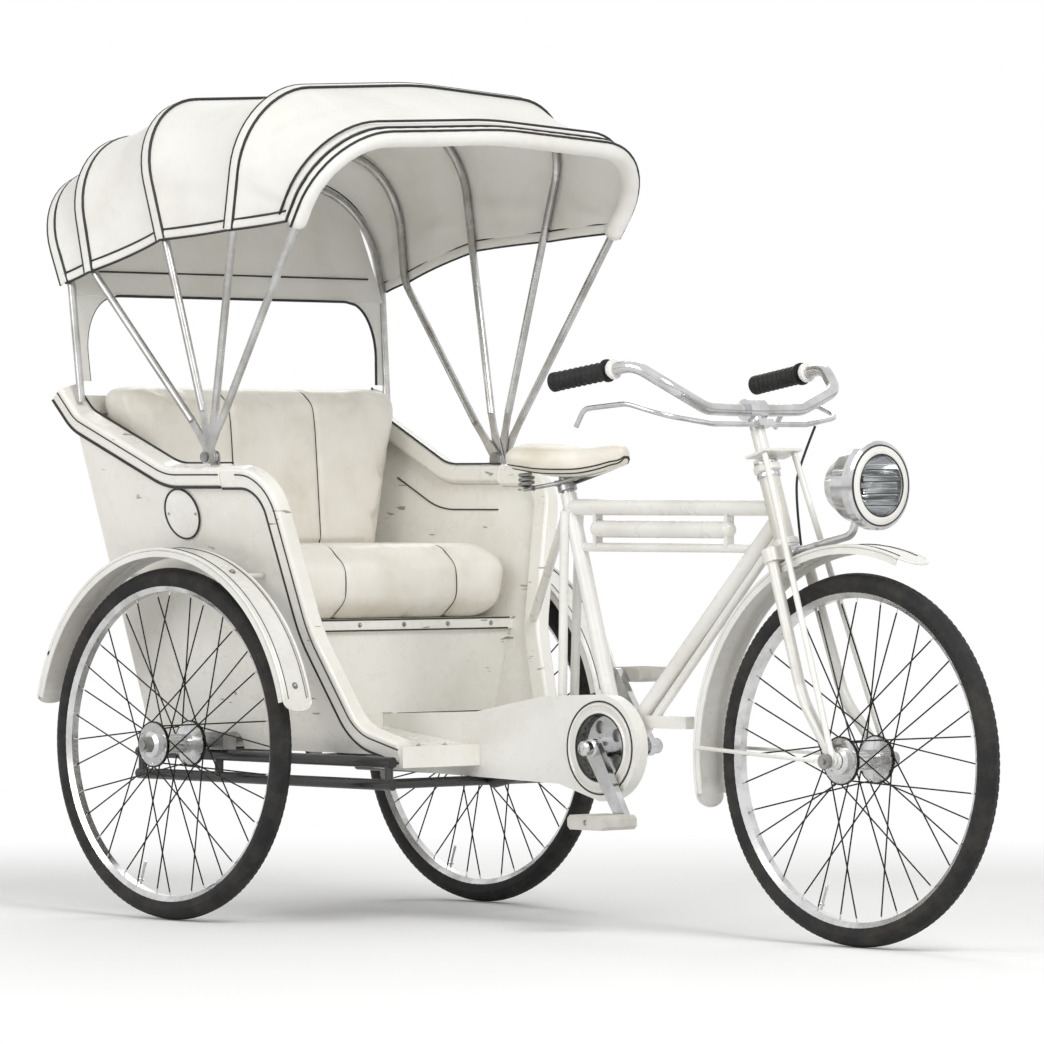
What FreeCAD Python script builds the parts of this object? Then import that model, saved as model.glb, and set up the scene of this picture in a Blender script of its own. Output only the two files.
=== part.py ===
"""Cycle rickshaw: a bicycle front half that draws a two-wheeled passenger tub with a folding hood.

Frame: +X forward, +Y to the rider's left, +Z up, millimetres.  The ground is z = 0, and the
origin lies under the middle of the whole vehicle.  Most places are written as stations: x is
counted forward from the rear axle, and the function station() turns them into the frame.
"""
import FreeCAD
import Part
import Sketcher
import os
from math import asin, atan2, cos, pi, radians, sin, sqrt, tan

Vector = FreeCAD.Vector
Rotation = FreeCAD.Rotation
Placement = FreeCAD.Placement

# ---------------------------------------------------------------- driving dimensions
# name, value in millimetres or degrees, what it is
DIMS = [
    ("wheelbase", 1492, "front axle ahead of the rear axle"),
    ("track", 848, "between the two rear wheels' middle planes"),
    ("wheel_radius", 352, "tread of a 28 inch tyre"),
    ("tyre_section", 46, "width of a tyre"),
    ("rim_bed_depth", 33, "tread down to the rim's bed"),
    ("rim_depth", 14, "bed down to the rim's inner wall"),
    ("rim_flange_rise", 5.5, "how far the rim's edges stand over its bed"),
    ("rim_width", 33, "over the rim's edges"),
    ("rim_edge", 2.2, "thickness of a rim edge"),
    ("running_gap", 0.1, "radial play of a shaft in its bore"),
    ("seat_gap", 0.3, "play between two pieces that rest on each other"),
    ("spoke_radius", 1.5, "heavy spokes"),
    ("spoke_count", 36, "spokes in a wheel"),
    ("flange_radius", 46, "hub flange"),
    ("flange_thick", 5, "hub flange"),
    ("flange_offset", 48, "flange's middle from the wheel's middle"),
    ("spoke_circle", 39, "radius at which the spokes leave the flange"),
    ("barrel_radius", 19, "hub barrel"),
    ("hub_half", 62, "half of the hub's length"),
    ("hub_end_radius", 26, "dust cap at each end of a hub"),
    ("front_spindle", 6, "radius of the front axle"),
    ("rear_shaft", 10, "radius of the live rear axle"),
    ("nut_across", 17, "corner radius of an axle nut"),
    ("nut_thick", 12, "axle nut"),
    ("guard_inner", 388, "inner radius of a mudguard"),
    ("guard_sheet", 3, "thickness of a mudguard's sheet"),
    ("guard_half", 36, "half of a mudguard's width"),
    ("guard_skirt", 14, "depth of a mudguard's rolled sides"),
    ("guard_rear_low", 167, "rear guard's rear end, degrees up from straight ahead"),
    ("guard_rear_front", 14, "rear guard's front end, degrees up from straight ahead"),
    ("front_guard_inner", 402, "inner radius of the front mudguard"),
    ("guard_front_tip", 71, "front guard's tip"),
    ("guard_front_low", 191, "front guard's rear end"),
    ("stay_radius", 4, "mudguard stay rod"),
    ("head_lean", 19, "steering axis back from upright, degrees"),
    ("fork_rake", 50, "front axle ahead of the steering axis"),
    ("head_low", 424, "lower cup, up the steering axis from axle height"),
    ("head_high", 585, "top cup, up the steering axis from axle height"),
    ("head_radius", 20, "head tube"),
    ("cup_radius", 26, "headset cups"),
    ("cup_length", 15, "headset cups"),
    ("steerer_radius", 14, "fork column"),
    ("locknut_length", 13, "headset lock nut"),
    ("crown_width", 124, "fork crown across the vehicle"),
    ("crown_depth", 36, "fork crown fore and aft"),
    ("crown_thick", 26, "fork crown up the steering axis"),
    ("blade_radius", 11, "fork blade"),
    ("blade_offset", 47, "blade's middle at the crown"),
    ("blade_bend", 120, "where the blade starts to curve, up the steering axis"),
    ("dropout_radius", 17, "flattened blade end"),
    ("dropout_thick", 6, "flattened blade end"),
    ("fork_stay_radius", 6, "stay in front of a fork blade"),
    ("stay_offset", 40, "fork stay's middle at its bracket"),
    ("clamp_height", 698, "handlebar clamp, up the steering axis from axle height"),
    ("clamp_radius", 21, "handlebar clamp"),
    ("clamp_length", 46, "handlebar clamp"),
    ("bar_radius", 12, "handlebar tube"),
    ("bar_half", 274, "half of the handlebar's width between grips' middles"),
    ("bar_sweep", 259, "grip's end behind the handlebar clamp"),
    ("bar_rise", 84, "handlebar's highest bend over its clamp"),
    ("grip_radius", 19, "grip"),
    ("grip_length", 140, "grip"),
    ("lever_radius", 5, "brake lever rod"),
    ("lever_drop", 52, "brake lever under the bar"),
    ("cable_radius", 2.5, "brake cable"),
    ("lamp_radius", 84, "headlamp rim"),
    ("lamp_depth", 118, "headlamp bowl"),
    ("lamp_wall", 2, "headlamp sheet"),
    ("lamp_rim", 22, "headlamp's front rim"),
    ("lamp_height", 868, "lamp's middle over the ground"),
    ("lamp_front", 1548, "lamp's glass, station"),
    ("glass_thick", 3, "lamp glass"),
    ("bracket_thick", 8, "lamp bracket"),
    ("bottom_station", 850, "bottom bracket, station"),
    ("bottom_height", 358, "bottom bracket over the ground"),
    ("shell_radius", 24, "bottom bracket shell"),
    ("tube_radius", 16, "main frame tubes"),
    ("slim_radius", 9, "second down tube and the stays"),
    ("cluster_station", 703, "top of the seat tube, station"),
    ("cluster_height", 852, "top of the seat tube"),
    ("top_tube_height", 826, "upper top tube"),
    ("twin_gap", 78, "upper top tube over the lower one"),
    ("down_join", 806, "first down tube at the head tube, over the ground"),
    ("slim_offset", 29, "second down tube behind the first"),
    ("stay_foot", 700, "seat stays' feet, station"),
    ("bridge_half", 24, "bridge under the seat stays, half of its length"),
    ("stay_spread", 15, "seat stays' feet from the middle"),
    ("body_stay_station", 290, "stay to the tub's left side, station"),
    ("body_stay_height", 596, "stay to the tub's left side, over the ground"),
    ("box_radius", 17, "tool roll between the top tubes"),
    ("box_rear_gap", 66, "tool box's rear end from the seat tube's middle"),
    ("box_front_gap", 147, "tool box's front end from the head tube's middle"),
    ("spindle_radius", 9, "crank spindle"),
    ("crank_length", 163, "crank arm between centres"),
    ("crank_angle", -58, "right crank arm, degrees up from straight ahead"),
    ("crank_inner", 66, "crank arm's inner face from the middle"),
    ("crank_thick", 15, "crank arm"),
    ("crank_boss", 19, "radius of the crank's big end"),
    ("crank_eye", 13, "radius of the crank's small end"),
    ("pin_radius", 6, "pedal spindle"),
    ("pedal_inner", 88, "pedal's inner end from the middle"),
    ("pedal_width", 92, "pedal across the vehicle"),
    ("pedal_length", 98, "pedal fore and aft"),
    ("pedal_thick", 28, "pedal"),
    ("chain_offset", 42, "chain line right of the middle"),
    ("chain_pitch", 12.7, "half inch chain"),
    ("ring_teeth", 32, "chainring"),
    ("sprocket_teeth", 18, "rear sprocket"),
    ("plate_thick", 3, "chainring and sprocket"),
    ("chain_width", 8, "over the chain's side plates"),
    ("chain_height", 9, "side plate's height"),
    ("case_disc", 104, "chain case's round front, radius"),
    ("case_window", 66, "opening in the case's outer face, radius"),
    ("case_half", 15, "half of the chain case's width"),
    ("case_wall", 2, "chain case sheet"),
    ("case_clear", 5, "chain to the case's tunnel"),
    ("case_shoulder", 690, "station where the case's top starts to fall"),
    ("case_shoulder_height", 455, "case's top at that station"),
    ("case_hip", 735, "station where the case's lower edge turns level"),
    ("rail_radius", 11, "chassis rails"),
    ("rail_offset", 300, "chassis rail's middle from the vehicle's middle"),
    ("rail_height", 326, "upper rail's middle"),
    ("rail_twin", 44, "upper rail over the lower one"),
    ("rail_rear", -250, "rails' rear end, station"),
    ("rail_front", 520, "rails' front end, station"),
    ("cross_radius", 10, "cross tubes"),
    ("cross_rear", -205, "rear cross tube, station"),
    ("cross_mid", 300, "middle cross tube, station"),
    ("cross_front", 440, "front cross tube, station"),
    ("cross_low", 476, "low cross tube, station"),
    ("stub_start", 905, "bumper stub on the down tubes, station"),
    ("stub_end", 1042, "bumper stub's front end, station"),
    ("stub_height", 410, "bumper stub"),
    ("stub_width", 24, "bumper stub, square"),
    ("block_length", 64, "axle bearing block fore and aft"),
    ("block_width", 34, "axle bearing block across"),
    ("block_over", 20, "bearing block over the axle's middle"),
    ("tub_half", 390, "half of the tub's width at lean_height, outside"),
    ("lean_height", 900, "height at which tub_half is measured"),
    ("side_lean", 13.8, "tub's sides, in towards the ground, degrees"),
    ("side_thick", 10, "tub's side panel"),
    ("panel_thick", 10, "tub's back, kick panel and seat board"),
    ("tub_low", 338, "lower edge of the tub's panels"),
    ("back_low", -262, "back panel's foot, station"),
    ("back_high", -318, "back panel's top, station"),
    ("back_top", 1052, "back panel's top over the ground"),
    ("kick_station", 215, "kick panel's front, station"),
    ("seat_height", 600, "seat board's top"),
    ("step_height", 386, "floor at the kick panel"),
    ("floor_front", 498, "floor's front edge, station"),
    ("floor_height", 352, "floor's top at its front edge"),
    ("floor_thick", 12, "footboard"),
    ("nosing_thick", 11, "footboard's front strip"),
    ("nosing_low", 314, "lower edge of the front strip"),
    ("trim_height", 24, "strip under the seat board"),
    ("trim_thick", 8, "strip under the seat board"),
    ("member_shoulder", 245, "front member's upper corner, station"),
    ("member_knee", 287, "front member's middle corner, station"),
    ("member_knee_height", 575, "front member's middle corner"),
    ("member_heel", 378, "front member's lower corner, station"),
    ("member_width", 42, "curved front member, along the tub's side"),
    ("member_thick", 36, "curved front member, across the tub's side"),
    ("arm_depth", 40, "armrest, top to bottom"),
    ("arm_thick", 46, "armrest, across"),
    ("arm_rear_height", 1078, "armrest's rear end, top"),
    ("arm_front_height", 908, "armrest's front end, top"),
    ("arm_front", 118, "armrest's front end, station"),
    ("cushion_gap", 5, "cushions to the panels beside them"),
    ("cushion_thick", 148, "seat cushion"),
    ("cushion_nose", 27, "seat cushion past the kick panel"),
    ("back_cushion_thick", 118, "back cushion"),
    ("back_cushion_top", 1094, "back cushion's top"),
    ("cushion_round", 46, "cushions' rounded edges"),
    ("roundel_radius", 52, "blank number disc"),
    ("roundel_thick", 2.5, "blank number disc"),
    ("roundel_station", -31, "number disc, station"),
    ("roundel_height", 812, "number disc"),
    ("pivot_station", 83, "hood pivot, station"),
    ("pivot_height", 925, "hood pivot over the ground"),
    ("pivot_pin", 6, "hood pivot pin, radius"),
    ("lug_thick", 5, "flattened end of a hood bow"),
    ("lug_gap", 1.2, "between two lugs on the pivot pin"),
    ("lug_length", 108, "flattened end of a hood bow"),
    ("lug_radius", 13, "eye of a lug"),
    ("bow_radius", 8, "hood bows"),
    ("bow_foot", 388, "innermost bow's leg at the pivot, from the middle"),
    ("bow_half", 440, "bow's shoulder, from the middle"),
    ("bow_foot_half", 426, "fixed bows at the hood's lower edge, from the middle"),
    ("bow_corner", 150, "bow's corner bend"),
    ("bow_crown", 900, "bow's bend at the middle of the roof"),
    ("bow_fall", 26, "bow's shoulders below its middle"),
    ("front_bow_angle", 33.4, "front bow, degrees ahead of upright"),
    ("second_bow_angle", 12.8, "second bow, degrees ahead of upright"),
    ("third_bow_angle", -13.9, "third bow, degrees ahead of upright"),
    ("front_bow_reach", 764, "front bow's middle from the pivot"),
    ("second_bow_reach", 758, "second bow's middle from the pivot"),
    ("third_bow_reach", 747, "third bow's middle from the pivot"),
    ("rail_front_reach", 541, "hood's lower edge on the front bow, from the pivot"),
    ("rail_second_reach", 461, "hood's lower edge on the second bow, from the pivot"),
    ("rail_third_reach", 449, "hood's lower edge on the third bow, from the pivot"),
    ("fourth_foot", -243, "fourth bow at the hood's lower edge, station"),
    ("fourth_foot_height", 1301, "fourth bow at the hood's lower edge"),
    ("fourth_lean", -10, "fourth bow above that, degrees ahead of upright"),
    ("fourth_rise", 286, "fourth bow's middle over its foot, along its plane"),
    ("rear_foot", -314, "rear bow at the hood's lower edge, station"),
    ("rear_foot_height", 1281, "rear bow at the hood's lower edge"),
    ("rear_lean", -20, "rear bow above that, degrees ahead of upright"),
    ("rear_rise", 250, "rear bow's middle over its foot, along its plane"),
    ("post_foot", -290, "rear post's foot, station"),
    ("cloth_thick", 3, "hood cloth with its lining"),
    ("cloth_gap", 0.5, "bow to cloth"),
    ("roll_radius", 19, "padded roll round the front bow"),
    ("curtain_low", 1255, "rear curtain's lower edge"),
    ("saddle_length", 268, "saddle"),
    ("saddle_half", 98, "half of the saddle's width"),
    ("saddle_nose", 22, "half of the saddle nose's width"),
    ("saddle_rise", 98, "saddle over the seat tube's top"),
    ("saddle_thick", 62, "saddle cover"),
    ("saddle_rear", 598, "saddle's rear end, station"),
    ("spring_radius", 17, "saddle spring"),
    ("spring_wire", 3.5, "saddle spring wire"),
    ("spring_turns", 3, "saddle spring"),
    ("post_radius", 12.5, "saddle post"),
]

doc = FreeCAD.newDocument("cycle_rickshaw")
sheet = doc.addObject("Spreadsheet::Sheet", "dims")
for row, (alias, number, meaning) in enumerate(DIMS, start=1):
    sheet.set(f"A{row}", str(number))
    sheet.setAlias(f"A{row}", alias)
    sheet.set(f"B{row}", meaning)
doc.recompute()


class Size:
    """A value with the sheet expression that gives it, so that a sketch can be bound to the cells."""

    def __init__(self, number, words=None):
        self.number = float(number)
        self.words = words or repr(float(number))

    def join(self, other, sign, number):
        return Size(number, f"({self.words} {sign} {size(other).words})")

    def __float__(self):
        return self.number

    def __add__(self, other):
        return self.join(other, "+", self.number + float(other))

    def __radd__(self, other):
        return size(other) + self

    def __sub__(self, other):
        return self.join(other, "-", self.number - float(other))

    def __rsub__(self, other):
        return size(other) - self

    def __mul__(self, other):
        return self.join(other, "*", self.number * float(other))

    def __rmul__(self, other):
        return size(other) * self

    def __truediv__(self, other):
        return self.join(other, "/", self.number / float(other))

    def __neg__(self):
        return 0 - self


def size(thing):
    """Any number as a Size."""
    return thing if isinstance(thing, Size) else Size(thing)


class Sizes:
    """The sheet's cells by name."""

    def __getattr__(self, name):
        return Size(sheet.get(name), f"dims.{name}")


D = Sizes()


def val(name):
    """A cell as a plain number."""
    return float(sheet.get(name))


# ---------------------------------------------------------------- places
# the hood's rear bow is the hindmost thing, the front tyre the foremost one
ROOF_SLOPE = atan2(val("bow_fall"), val("bow_half"))
CROWN_DROP = val("bow_crown") * (1 / cos(ROOF_SLOPE) - 1)
HIND_STATION = (val("rear_foot") + (val("rear_rise") - CROWN_DROP) * sin(radians(val("rear_lean")))
                - val("bow_radius"))
AXLE_X = -(val("wheelbase") + val("wheel_radius") + HIND_STATION) / 2
AXLE_Z = val("wheel_radius")


def station(x, y, z):
    """A point whose x is counted forward from the rear axle."""
    return Vector(AXLE_X + float(x), float(y), float(z))


LEAN = radians(val("head_lean"))
# the steering axis at the height of the axles, and the frame that stands on it
STEER_FOOT = station(val("wheelbase") - val("fork_rake") / cos(LEAN), 0, AXLE_Z)
STEERING = Placement(STEER_FOOT, Rotation(Vector(0, 1, 0), -val("head_lean")))
FRONT_AXLE = station(val("wheelbase"), 0, AXLE_Z)
REAR_AXLE = station(0, 0, AXLE_Z)
BOTTOM = station(val("bottom_station"), 0, val("bottom_height"))


def on_steering(x, y, up):
    """A point given ahead of the steering axis, left of it and up along it."""
    return STEERING.multVec(Vector(float(x), float(y), float(up)))


def steering_up(height):
    """How far up the steering axis a height over the ground is met."""
    return (height - AXLE_Z) / cos(LEAN)


# ---------------------------------------------------------------- helpers
def bind(thing, prop, value):
    """Give a property a value, bound to the sheet where the value comes from it."""
    value = size(value)
    setattr(thing, prop, value.number)
    if "dims." in value.words:
        thing.setExpression(prop, value.words)


def origin_plane(body, role):
    return [plane for plane in body.Origin.OriginFeatures if plane.Role == role][0]


def arc_centre(start, end, radius, side):
    """Centre of the smaller arc from start to end; side is 1 where the path turns left."""
    middle = (start + end) * 0.5
    chord = end - start
    rise = sqrt(max(radius ** 2 - (chord.Length / 2) ** 2, 0.0))
    left = Vector(-chord.y, chord.x, 0).normalize()
    return middle + left * rise * side


def draw_loop(sketch, loop):
    """A closed loop.  Each corner is (x, y), or (x, y, radius, side) if an arc leaves it."""
    places = [Vector(float(item[0]), float(item[1]), 0) for item in loop]
    first = sketch.GeometryCount
    ends = []
    for index, item in enumerate(loop):
        start = places[index]
        end = places[(index + 1) % len(loop)]
        if len(item) == 2:
            sketch.addGeometry(Part.LineSegment(start, end))
            ends.append((1, 2))
            continue
        radius, side = float(item[2]), item[3]
        centre = arc_centre(start, end, radius, side)
        middle = (start + end) * 0.5
        outward = (middle - centre)
        if outward.Length < 1e-6:
            outward = Vector(end.y - start.y, start.x - end.x, 0) * side
        apex = centre + outward.normalize() * radius
        sketch.addGeometry(Part.Arc(start, apex, end))
        ends.append((1, 2) if side > 0 else (2, 1))
    count = len(loop)
    for index in range(count):
        after = (index + 1) % count
        sketch.addConstraint(Sketcher.Constraint(
            "Coincident", first + index, ends[index][1], first + after, ends[after][0]))
    for index, item in enumerate(loop):
        for kind, value in (("DistanceX", item[0]), ("DistanceY", item[1])):
            hold(sketch, kind, (-1, 1, first + index, ends[index][0]), value)
        if len(item) == 4:
            hold(sketch, "Radius", (first + index,), item[2])


def draw_circle(sketch, x, y, radius):
    """A circle held by its centre and its radius."""
    centre = Vector(float(x), float(y), 0)
    index = sketch.addGeometry(Part.Circle(centre, Vector(0, 0, 1), float(radius)))
    hold(sketch, "DistanceX", (-1, 1, index, 3), x)
    hold(sketch, "DistanceY", (-1, 1, index, 3), y)
    hold(sketch, "Radius", (index,), radius)


def hold(sketch, kind, parts, value):
    """A dimension on the sketch, bound to the sheet where the value comes from it."""
    value = size(value)
    index = sketch.addConstraint(Sketcher.Constraint(kind, *parts, value.number))
    if "dims." in value.words:
        sketch.setExpression(f"Constraints[{index}]", value.words)


def new_body(name):
    body = doc.addObject("PartDesign::Body", name)
    body.Label = name
    return body


def add_sketch(body, plane, loops=(), circles=()):
    sketch = body.newObject("Sketcher::SketchObject", body.Name + "_sketch")
    sketch.AttachmentSupport = [(origin_plane(body, plane), "")]
    sketch.MapMode = "FlatFace"
    for loop in loops:
        draw_loop(sketch, loop)
    for circle in circles:
        draw_circle(sketch, *circle)
    return sketch


def padded(name, plane, length, loops=(), circles=(), middle=True, flip=False):
    """A body with one pad, centred on its plane unless told otherwise."""
    body = new_body(name)
    sketch = add_sketch(body, plane, loops, circles)
    pad = body.newObject("PartDesign::Pad", name + "_pad")
    pad.Profile = sketch
    bind(pad, "Length", length)
    pad.Midplane = middle
    pad.Reversed = flip
    return body



def revolved(name, plane, loops, axis="V_Axis"):
    """A body turned about the sketch's own vertical or horizontal axis."""
    body = new_body(name)
    sketch = add_sketch(body, plane, loops)
    turn = body.newObject("PartDesign::Revolution", name + "_turn")
    turn.Profile = sketch
    turn.ReferenceAxis = (sketch, [axis])
    turn.Angle = 360
    return body


def cylinder(name, radius, start, end):
    """A round bar from one point to another."""
    start, end = Vector(start), Vector(end)
    bar = doc.addObject("Part::Cylinder", name)
    bind(bar, "Radius", radius)
    bar.Height = (end - start).Length
    bar.Placement = Placement(start, Rotation(Vector(0, 0, 1), end - start))
    return bar



def cut(name, base, tool):
    result = doc.addObject("Part::Cut", name)
    result.Base = base
    result.Tool = tool
    result.Label = name
    return result


def common(name, base, tool):
    result = doc.addObject("Part::Common", name)
    result.Base = base
    result.Tool = tool
    result.Label = name
    return result


def fused(name, parts):
    result = doc.addObject("Part::MultiFuse", name)
    result.Shapes = parts
    result.Label = name
    return result


def gathered(name, parts):
    """Solids of one node that stay apart."""
    result = doc.addObject("Part::Compound", name)
    result.Links = parts
    result.Label = name
    return result


def feature(name, shape, placement=None):
    """A shape made with Part's own functions."""
    result = doc.addObject("Part::Feature", name)
    result.Shape = shape
    if placement is not None:
        result.Placement = placement
    result.Label = name
    return result


def bent_path(points, radii):
    """Straight runs joined by tangent arcs; radii has one entry for each inner point."""
    points = [Vector(point) for point in points]
    edges = []
    here = points[0]
    for index in range(1, len(points) - 1):
        corner = points[index]
        back = (points[index - 1] - corner).normalize()
        ahead = (points[index + 1] - corner).normalize()
        half = back.getAngle(ahead) / 2
        reach = radii[index - 1] / tan(half)
        first = corner + back * reach
        last = corner + ahead * reach
        centre = corner + (back + ahead).normalize() * (radii[index - 1] / sin(half))
        apex = centre + (corner - centre).normalize() * radii[index - 1]
        if (first - here).Length > 1e-6:
            edges.append(Part.LineSegment(here, first).toShape())
        edges.append(Part.Arc(first, apex, last).toShape())
        here = last
    edges.append(Part.LineSegment(here, points[-1]).toShape())
    return Part.Wire(edges)


def swept(points, radii, radius):
    """A round rod along a bent path."""
    path = bent_path(points, radii)
    start = Vector(points[0])
    way = Vector(points[1]) - start
    ring = Part.Wire(Part.Circle(start, way, float(radius)).toShape())
    return path.makePipeShell([ring], True, False)


# ---------------------------------------------------------------- wheels
RIM_BED = D.wheel_radius - D.rim_bed_depth
RIM_INNER = RIM_BED - D.rim_depth
RIM_TOP = RIM_BED + D.rim_flange_rise
CROSSINGS = 3
TYRE_FACES = 8


def rim(name):
    """A rim of open box section: bed, two rolled edges and a rounded inner wall."""
    half = D.rim_width / 2
    edge = half - D.rim_edge
    return revolved(name, "XY_Plane", [[
        (RIM_BED, -edge), (RIM_TOP, -edge), (RIM_TOP, -half), (RIM_BED - D.rim_edge, -half),
        (RIM_INNER, -half / 2), (RIM_INNER, half / 2), (RIM_BED - D.rim_edge, half),
        (RIM_TOP, half), (RIM_TOP, edge), (RIM_BED, edge)]])


def tyre(name, centre):
    """A tyre that fills the rim between its edges, with a round section of flat bands."""
    inner = D.rim_width / 2 - D.rim_edge - D.seat_gap
    section = D.tyre_section / 2
    foot = RIM_TOP + D.seat_gap
    drop = D.wheel_radius - section - foot
    start = -asin(float(drop) / float(section))
    bulge = []
    for index in range(TYRE_FACES + 1):
        turn = start + (pi - 2 * start) * index / TYRE_FACES
        bulge.append((D.wheel_radius - section * (1 - sin(turn)), section * cos(turn)))
    body = revolved(name, "XY_Plane", [[
        (RIM_BED + D.seat_gap, -inner), (RIM_BED + D.seat_gap, inner), (foot, inner)] + bulge +
        [(foot, -inner)]])
    body.Placement = Placement(centre, Rotation())
    return body


def hub(name, bore):
    """A hub with two flanges and a dust cap at each end."""
    near = D.flange_offset - D.flange_thick / 2
    far = D.flange_offset + D.flange_thick / 2
    cap = D.hub_half - D.flange_thick
    neck = near - D.flange_thick
    lip = D.hub_end_radius * 0.7
    half = [(lip, D.hub_half), (D.hub_end_radius, cap), (D.hub_end_radius, far),
            (D.flange_radius, far), (D.flange_radius, near), (D.barrel_radius, neck)]
    other = [(radius, -across) for radius, across in reversed(half)]
    return revolved(name, "XY_Plane", [[(bore, -D.hub_half), (bore, D.hub_half)] + half + other])


def spokes(name):
    """Spokes laced three-cross: from each flange, half lead and half trail the wheel."""
    count = int(val("spoke_count"))
    step = 360 / count
    swing = CROSSINGS * 2 * step
    rods = []
    for index in range(count):
        flange = 1 if index % 2 == 0 else -1
        leads = (index // 2) % 2 == 0
        face = (val("flange_thick") + 0.8 * val("spoke_radius")) / 2 * (1 if leads else -1)
        hub_angle = radians(index * step + (swing if leads else -swing))
        rim_angle = radians(index * step)
        start = Vector(val("spoke_circle") * cos(hub_angle), flange * (val("flange_offset") + face),
                       val("spoke_circle") * sin(hub_angle))
        reach = float(RIM_INNER) + val("rim_edge") / 2
        end = Vector(reach * cos(rim_angle), flange * val("rim_width") / 8, reach * sin(rim_angle))
        rods.append(cylinder(f"{name}_{index}", D.spoke_radius, start, end))
    return rods


def wire_wheel(name, centre, bore):
    wheel = fused(name, [rim(name + "_rim"), hub(name + "_hub", bore)] + spokes(name + "_spoke"))
    wheel.Placement = Placement(centre, Rotation())
    return wheel


def axle_nut(name, centre):
    """A six-sided nut across the vehicle."""
    nut = doc.addObject("Part::Prism", name)
    nut.Polygon = 6
    bind(nut, "Circumradius", D.nut_across)
    bind(nut, "Height", D.nut_thick)
    nut.Placement = Placement(centre, Rotation(Vector(1, 0, 0), -90))
    return nut


SIDES = (("right", -1), ("left", 1))
for side_name, side in SIDES:
    middle = REAR_AXLE + Vector(0, side * val("track") / 2, 0)
    wire_wheel(f"rear_wheel_{side_name}", middle, D.rear_shaft + D.running_gap)
    tyre(f"rear_tyre_{side_name}", middle)
wire_wheel("front_wheel", FRONT_AXLE, D.front_spindle + D.running_gap)
tyre("front_tyre", FRONT_AXLE)


# ---------------------------------------------------------------- crank, chain and sprocket
def pitch_radius(teeth):
    return Size(val("chain_pitch") / (2 * sin(pi / val(teeth))),
                f"dims.chain_pitch / (2 * sin(180 deg / dims.{teeth}))")


RING_PITCH = pitch_radius("ring_teeth")
SPROCKET_PITCH = pitch_radius("sprocket_teeth")
CHAIN_Y = -val("chain_offset")
TOOTH_RISE = 2.4
TOOTH_ROOT = 3.6


def toothed(name, teeth, pitch, bore):
    """A disc with pointed chain teeth and a round bore."""
    base = pitch - TOOTH_ROOT
    body = padded(name, "XZ_Plane", D.plate_thick, circles=[(0, 0, base), (0, 0, bore)])
    doc.recompute()
    sketch = add_sketch(body, "XZ_Plane", [[
        (base - 1, -D.chain_pitch / 3), (pitch + TOOTH_RISE, -D.chain_pitch / 12),
        (pitch + TOOTH_RISE, D.chain_pitch / 12), (base - 1, D.chain_pitch / 3)]])
    pad = body.newObject("PartDesign::Pad", name + "_tooth")
    pad.Profile = sketch
    bind(pad, "Length", D.plate_thick)
    pad.Midplane = True
    ring = body.newObject("PartDesign::PolarPattern", name + "_teeth")
    ring.Originals = [pad]
    ring.Axis = (sketch, ["N_Axis"])
    ring.Angle = 360
    ring.Occurrences = int(val(teeth))
    ring.setExpression("Occurrences", f"dims.{teeth}")
    body.Tip = ring
    return body


def tapered_bar(name, big, small, length, thickness):
    """A flat bar with a round big end at the origin and a round small end along +X."""
    return padded(name, "XZ_Plane", thickness, [[
        (0, -big), (length, -small, small, 1), (length + small, 0, small, 1), (length, small),
        (0, big, big, 1), (-big, 0, big, 1)]])


def across(point, y):
    """The same point at another y."""
    return Vector(point.x, float(y), point.z)


def make_crank():
    parts = []
    reach = D.crank_inner + D.crank_thick
    boss_end = float(reach) + val("crank_thick") / 3
    parts.append(cylinder("crank_spindle", D.spindle_radius, across(BOTTOM, -boss_end),
                          across(BOTTOM, boss_end)))
    for (side_name, side), angle in zip(SIDES, (val("crank_angle"), val("crank_angle") + 180)):
        arm = tapered_bar("crank_arm_" + side_name, D.crank_boss, D.crank_eye, D.crank_length,
                          D.crank_thick)
        arm_y = side * float(D.crank_inner + D.crank_thick / 2)
        arm.Placement = Placement(across(BOTTOM, arm_y), Rotation(Vector(0, 1, 0), -angle))
        parts.append(arm)
        eye = PEDAL_PLACE[side_name]
        parts.append(cylinder("crank_pin_" + side_name, D.pin_radius,
                              across(eye, side * val("crank_inner")),
                              across(eye, side * (val("pedal_inner") + val("pedal_width") - 4))))
    spider = cylinder("crank_spider", D.crank_boss + 2, across(BOTTOM, -val("crank_inner")),
                      across(BOTTOM, CHAIN_Y + val("plate_thick") / 2))
    parts.append(spider)
    ring = toothed("chainring_disc", "ring_teeth", RING_PITCH, D.spindle_radius)
    ring.Placement = Placement(across(BOTTOM, CHAIN_Y), Rotation())
    openings = []
    for index in range(5):
        turn = radians(index * 72 + 36)
        reach = float(RING_PITCH + D.crank_boss) / 2
        centre = BOTTOM + Vector(reach * cos(turn), 0, reach * sin(turn))
        openings.append(cylinder(f"chainring_hole_{index}", RING_PITCH / 5, across(centre, 0),
                                 across(centre, 2 * CHAIN_Y)))
    parts.append(cut("chainring", ring, fused("chainring_holes", openings)))
    fused("crank", parts)


PEDAL_PLACE = {}
for (side_name, side), turn in zip(SIDES, (0, 180)):
    angle = radians(val("crank_angle") + turn)
    PEDAL_PLACE[side_name] = BOTTOM + Vector(val("crank_length") * cos(angle), 0,
                                             val("crank_length") * sin(angle))


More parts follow.
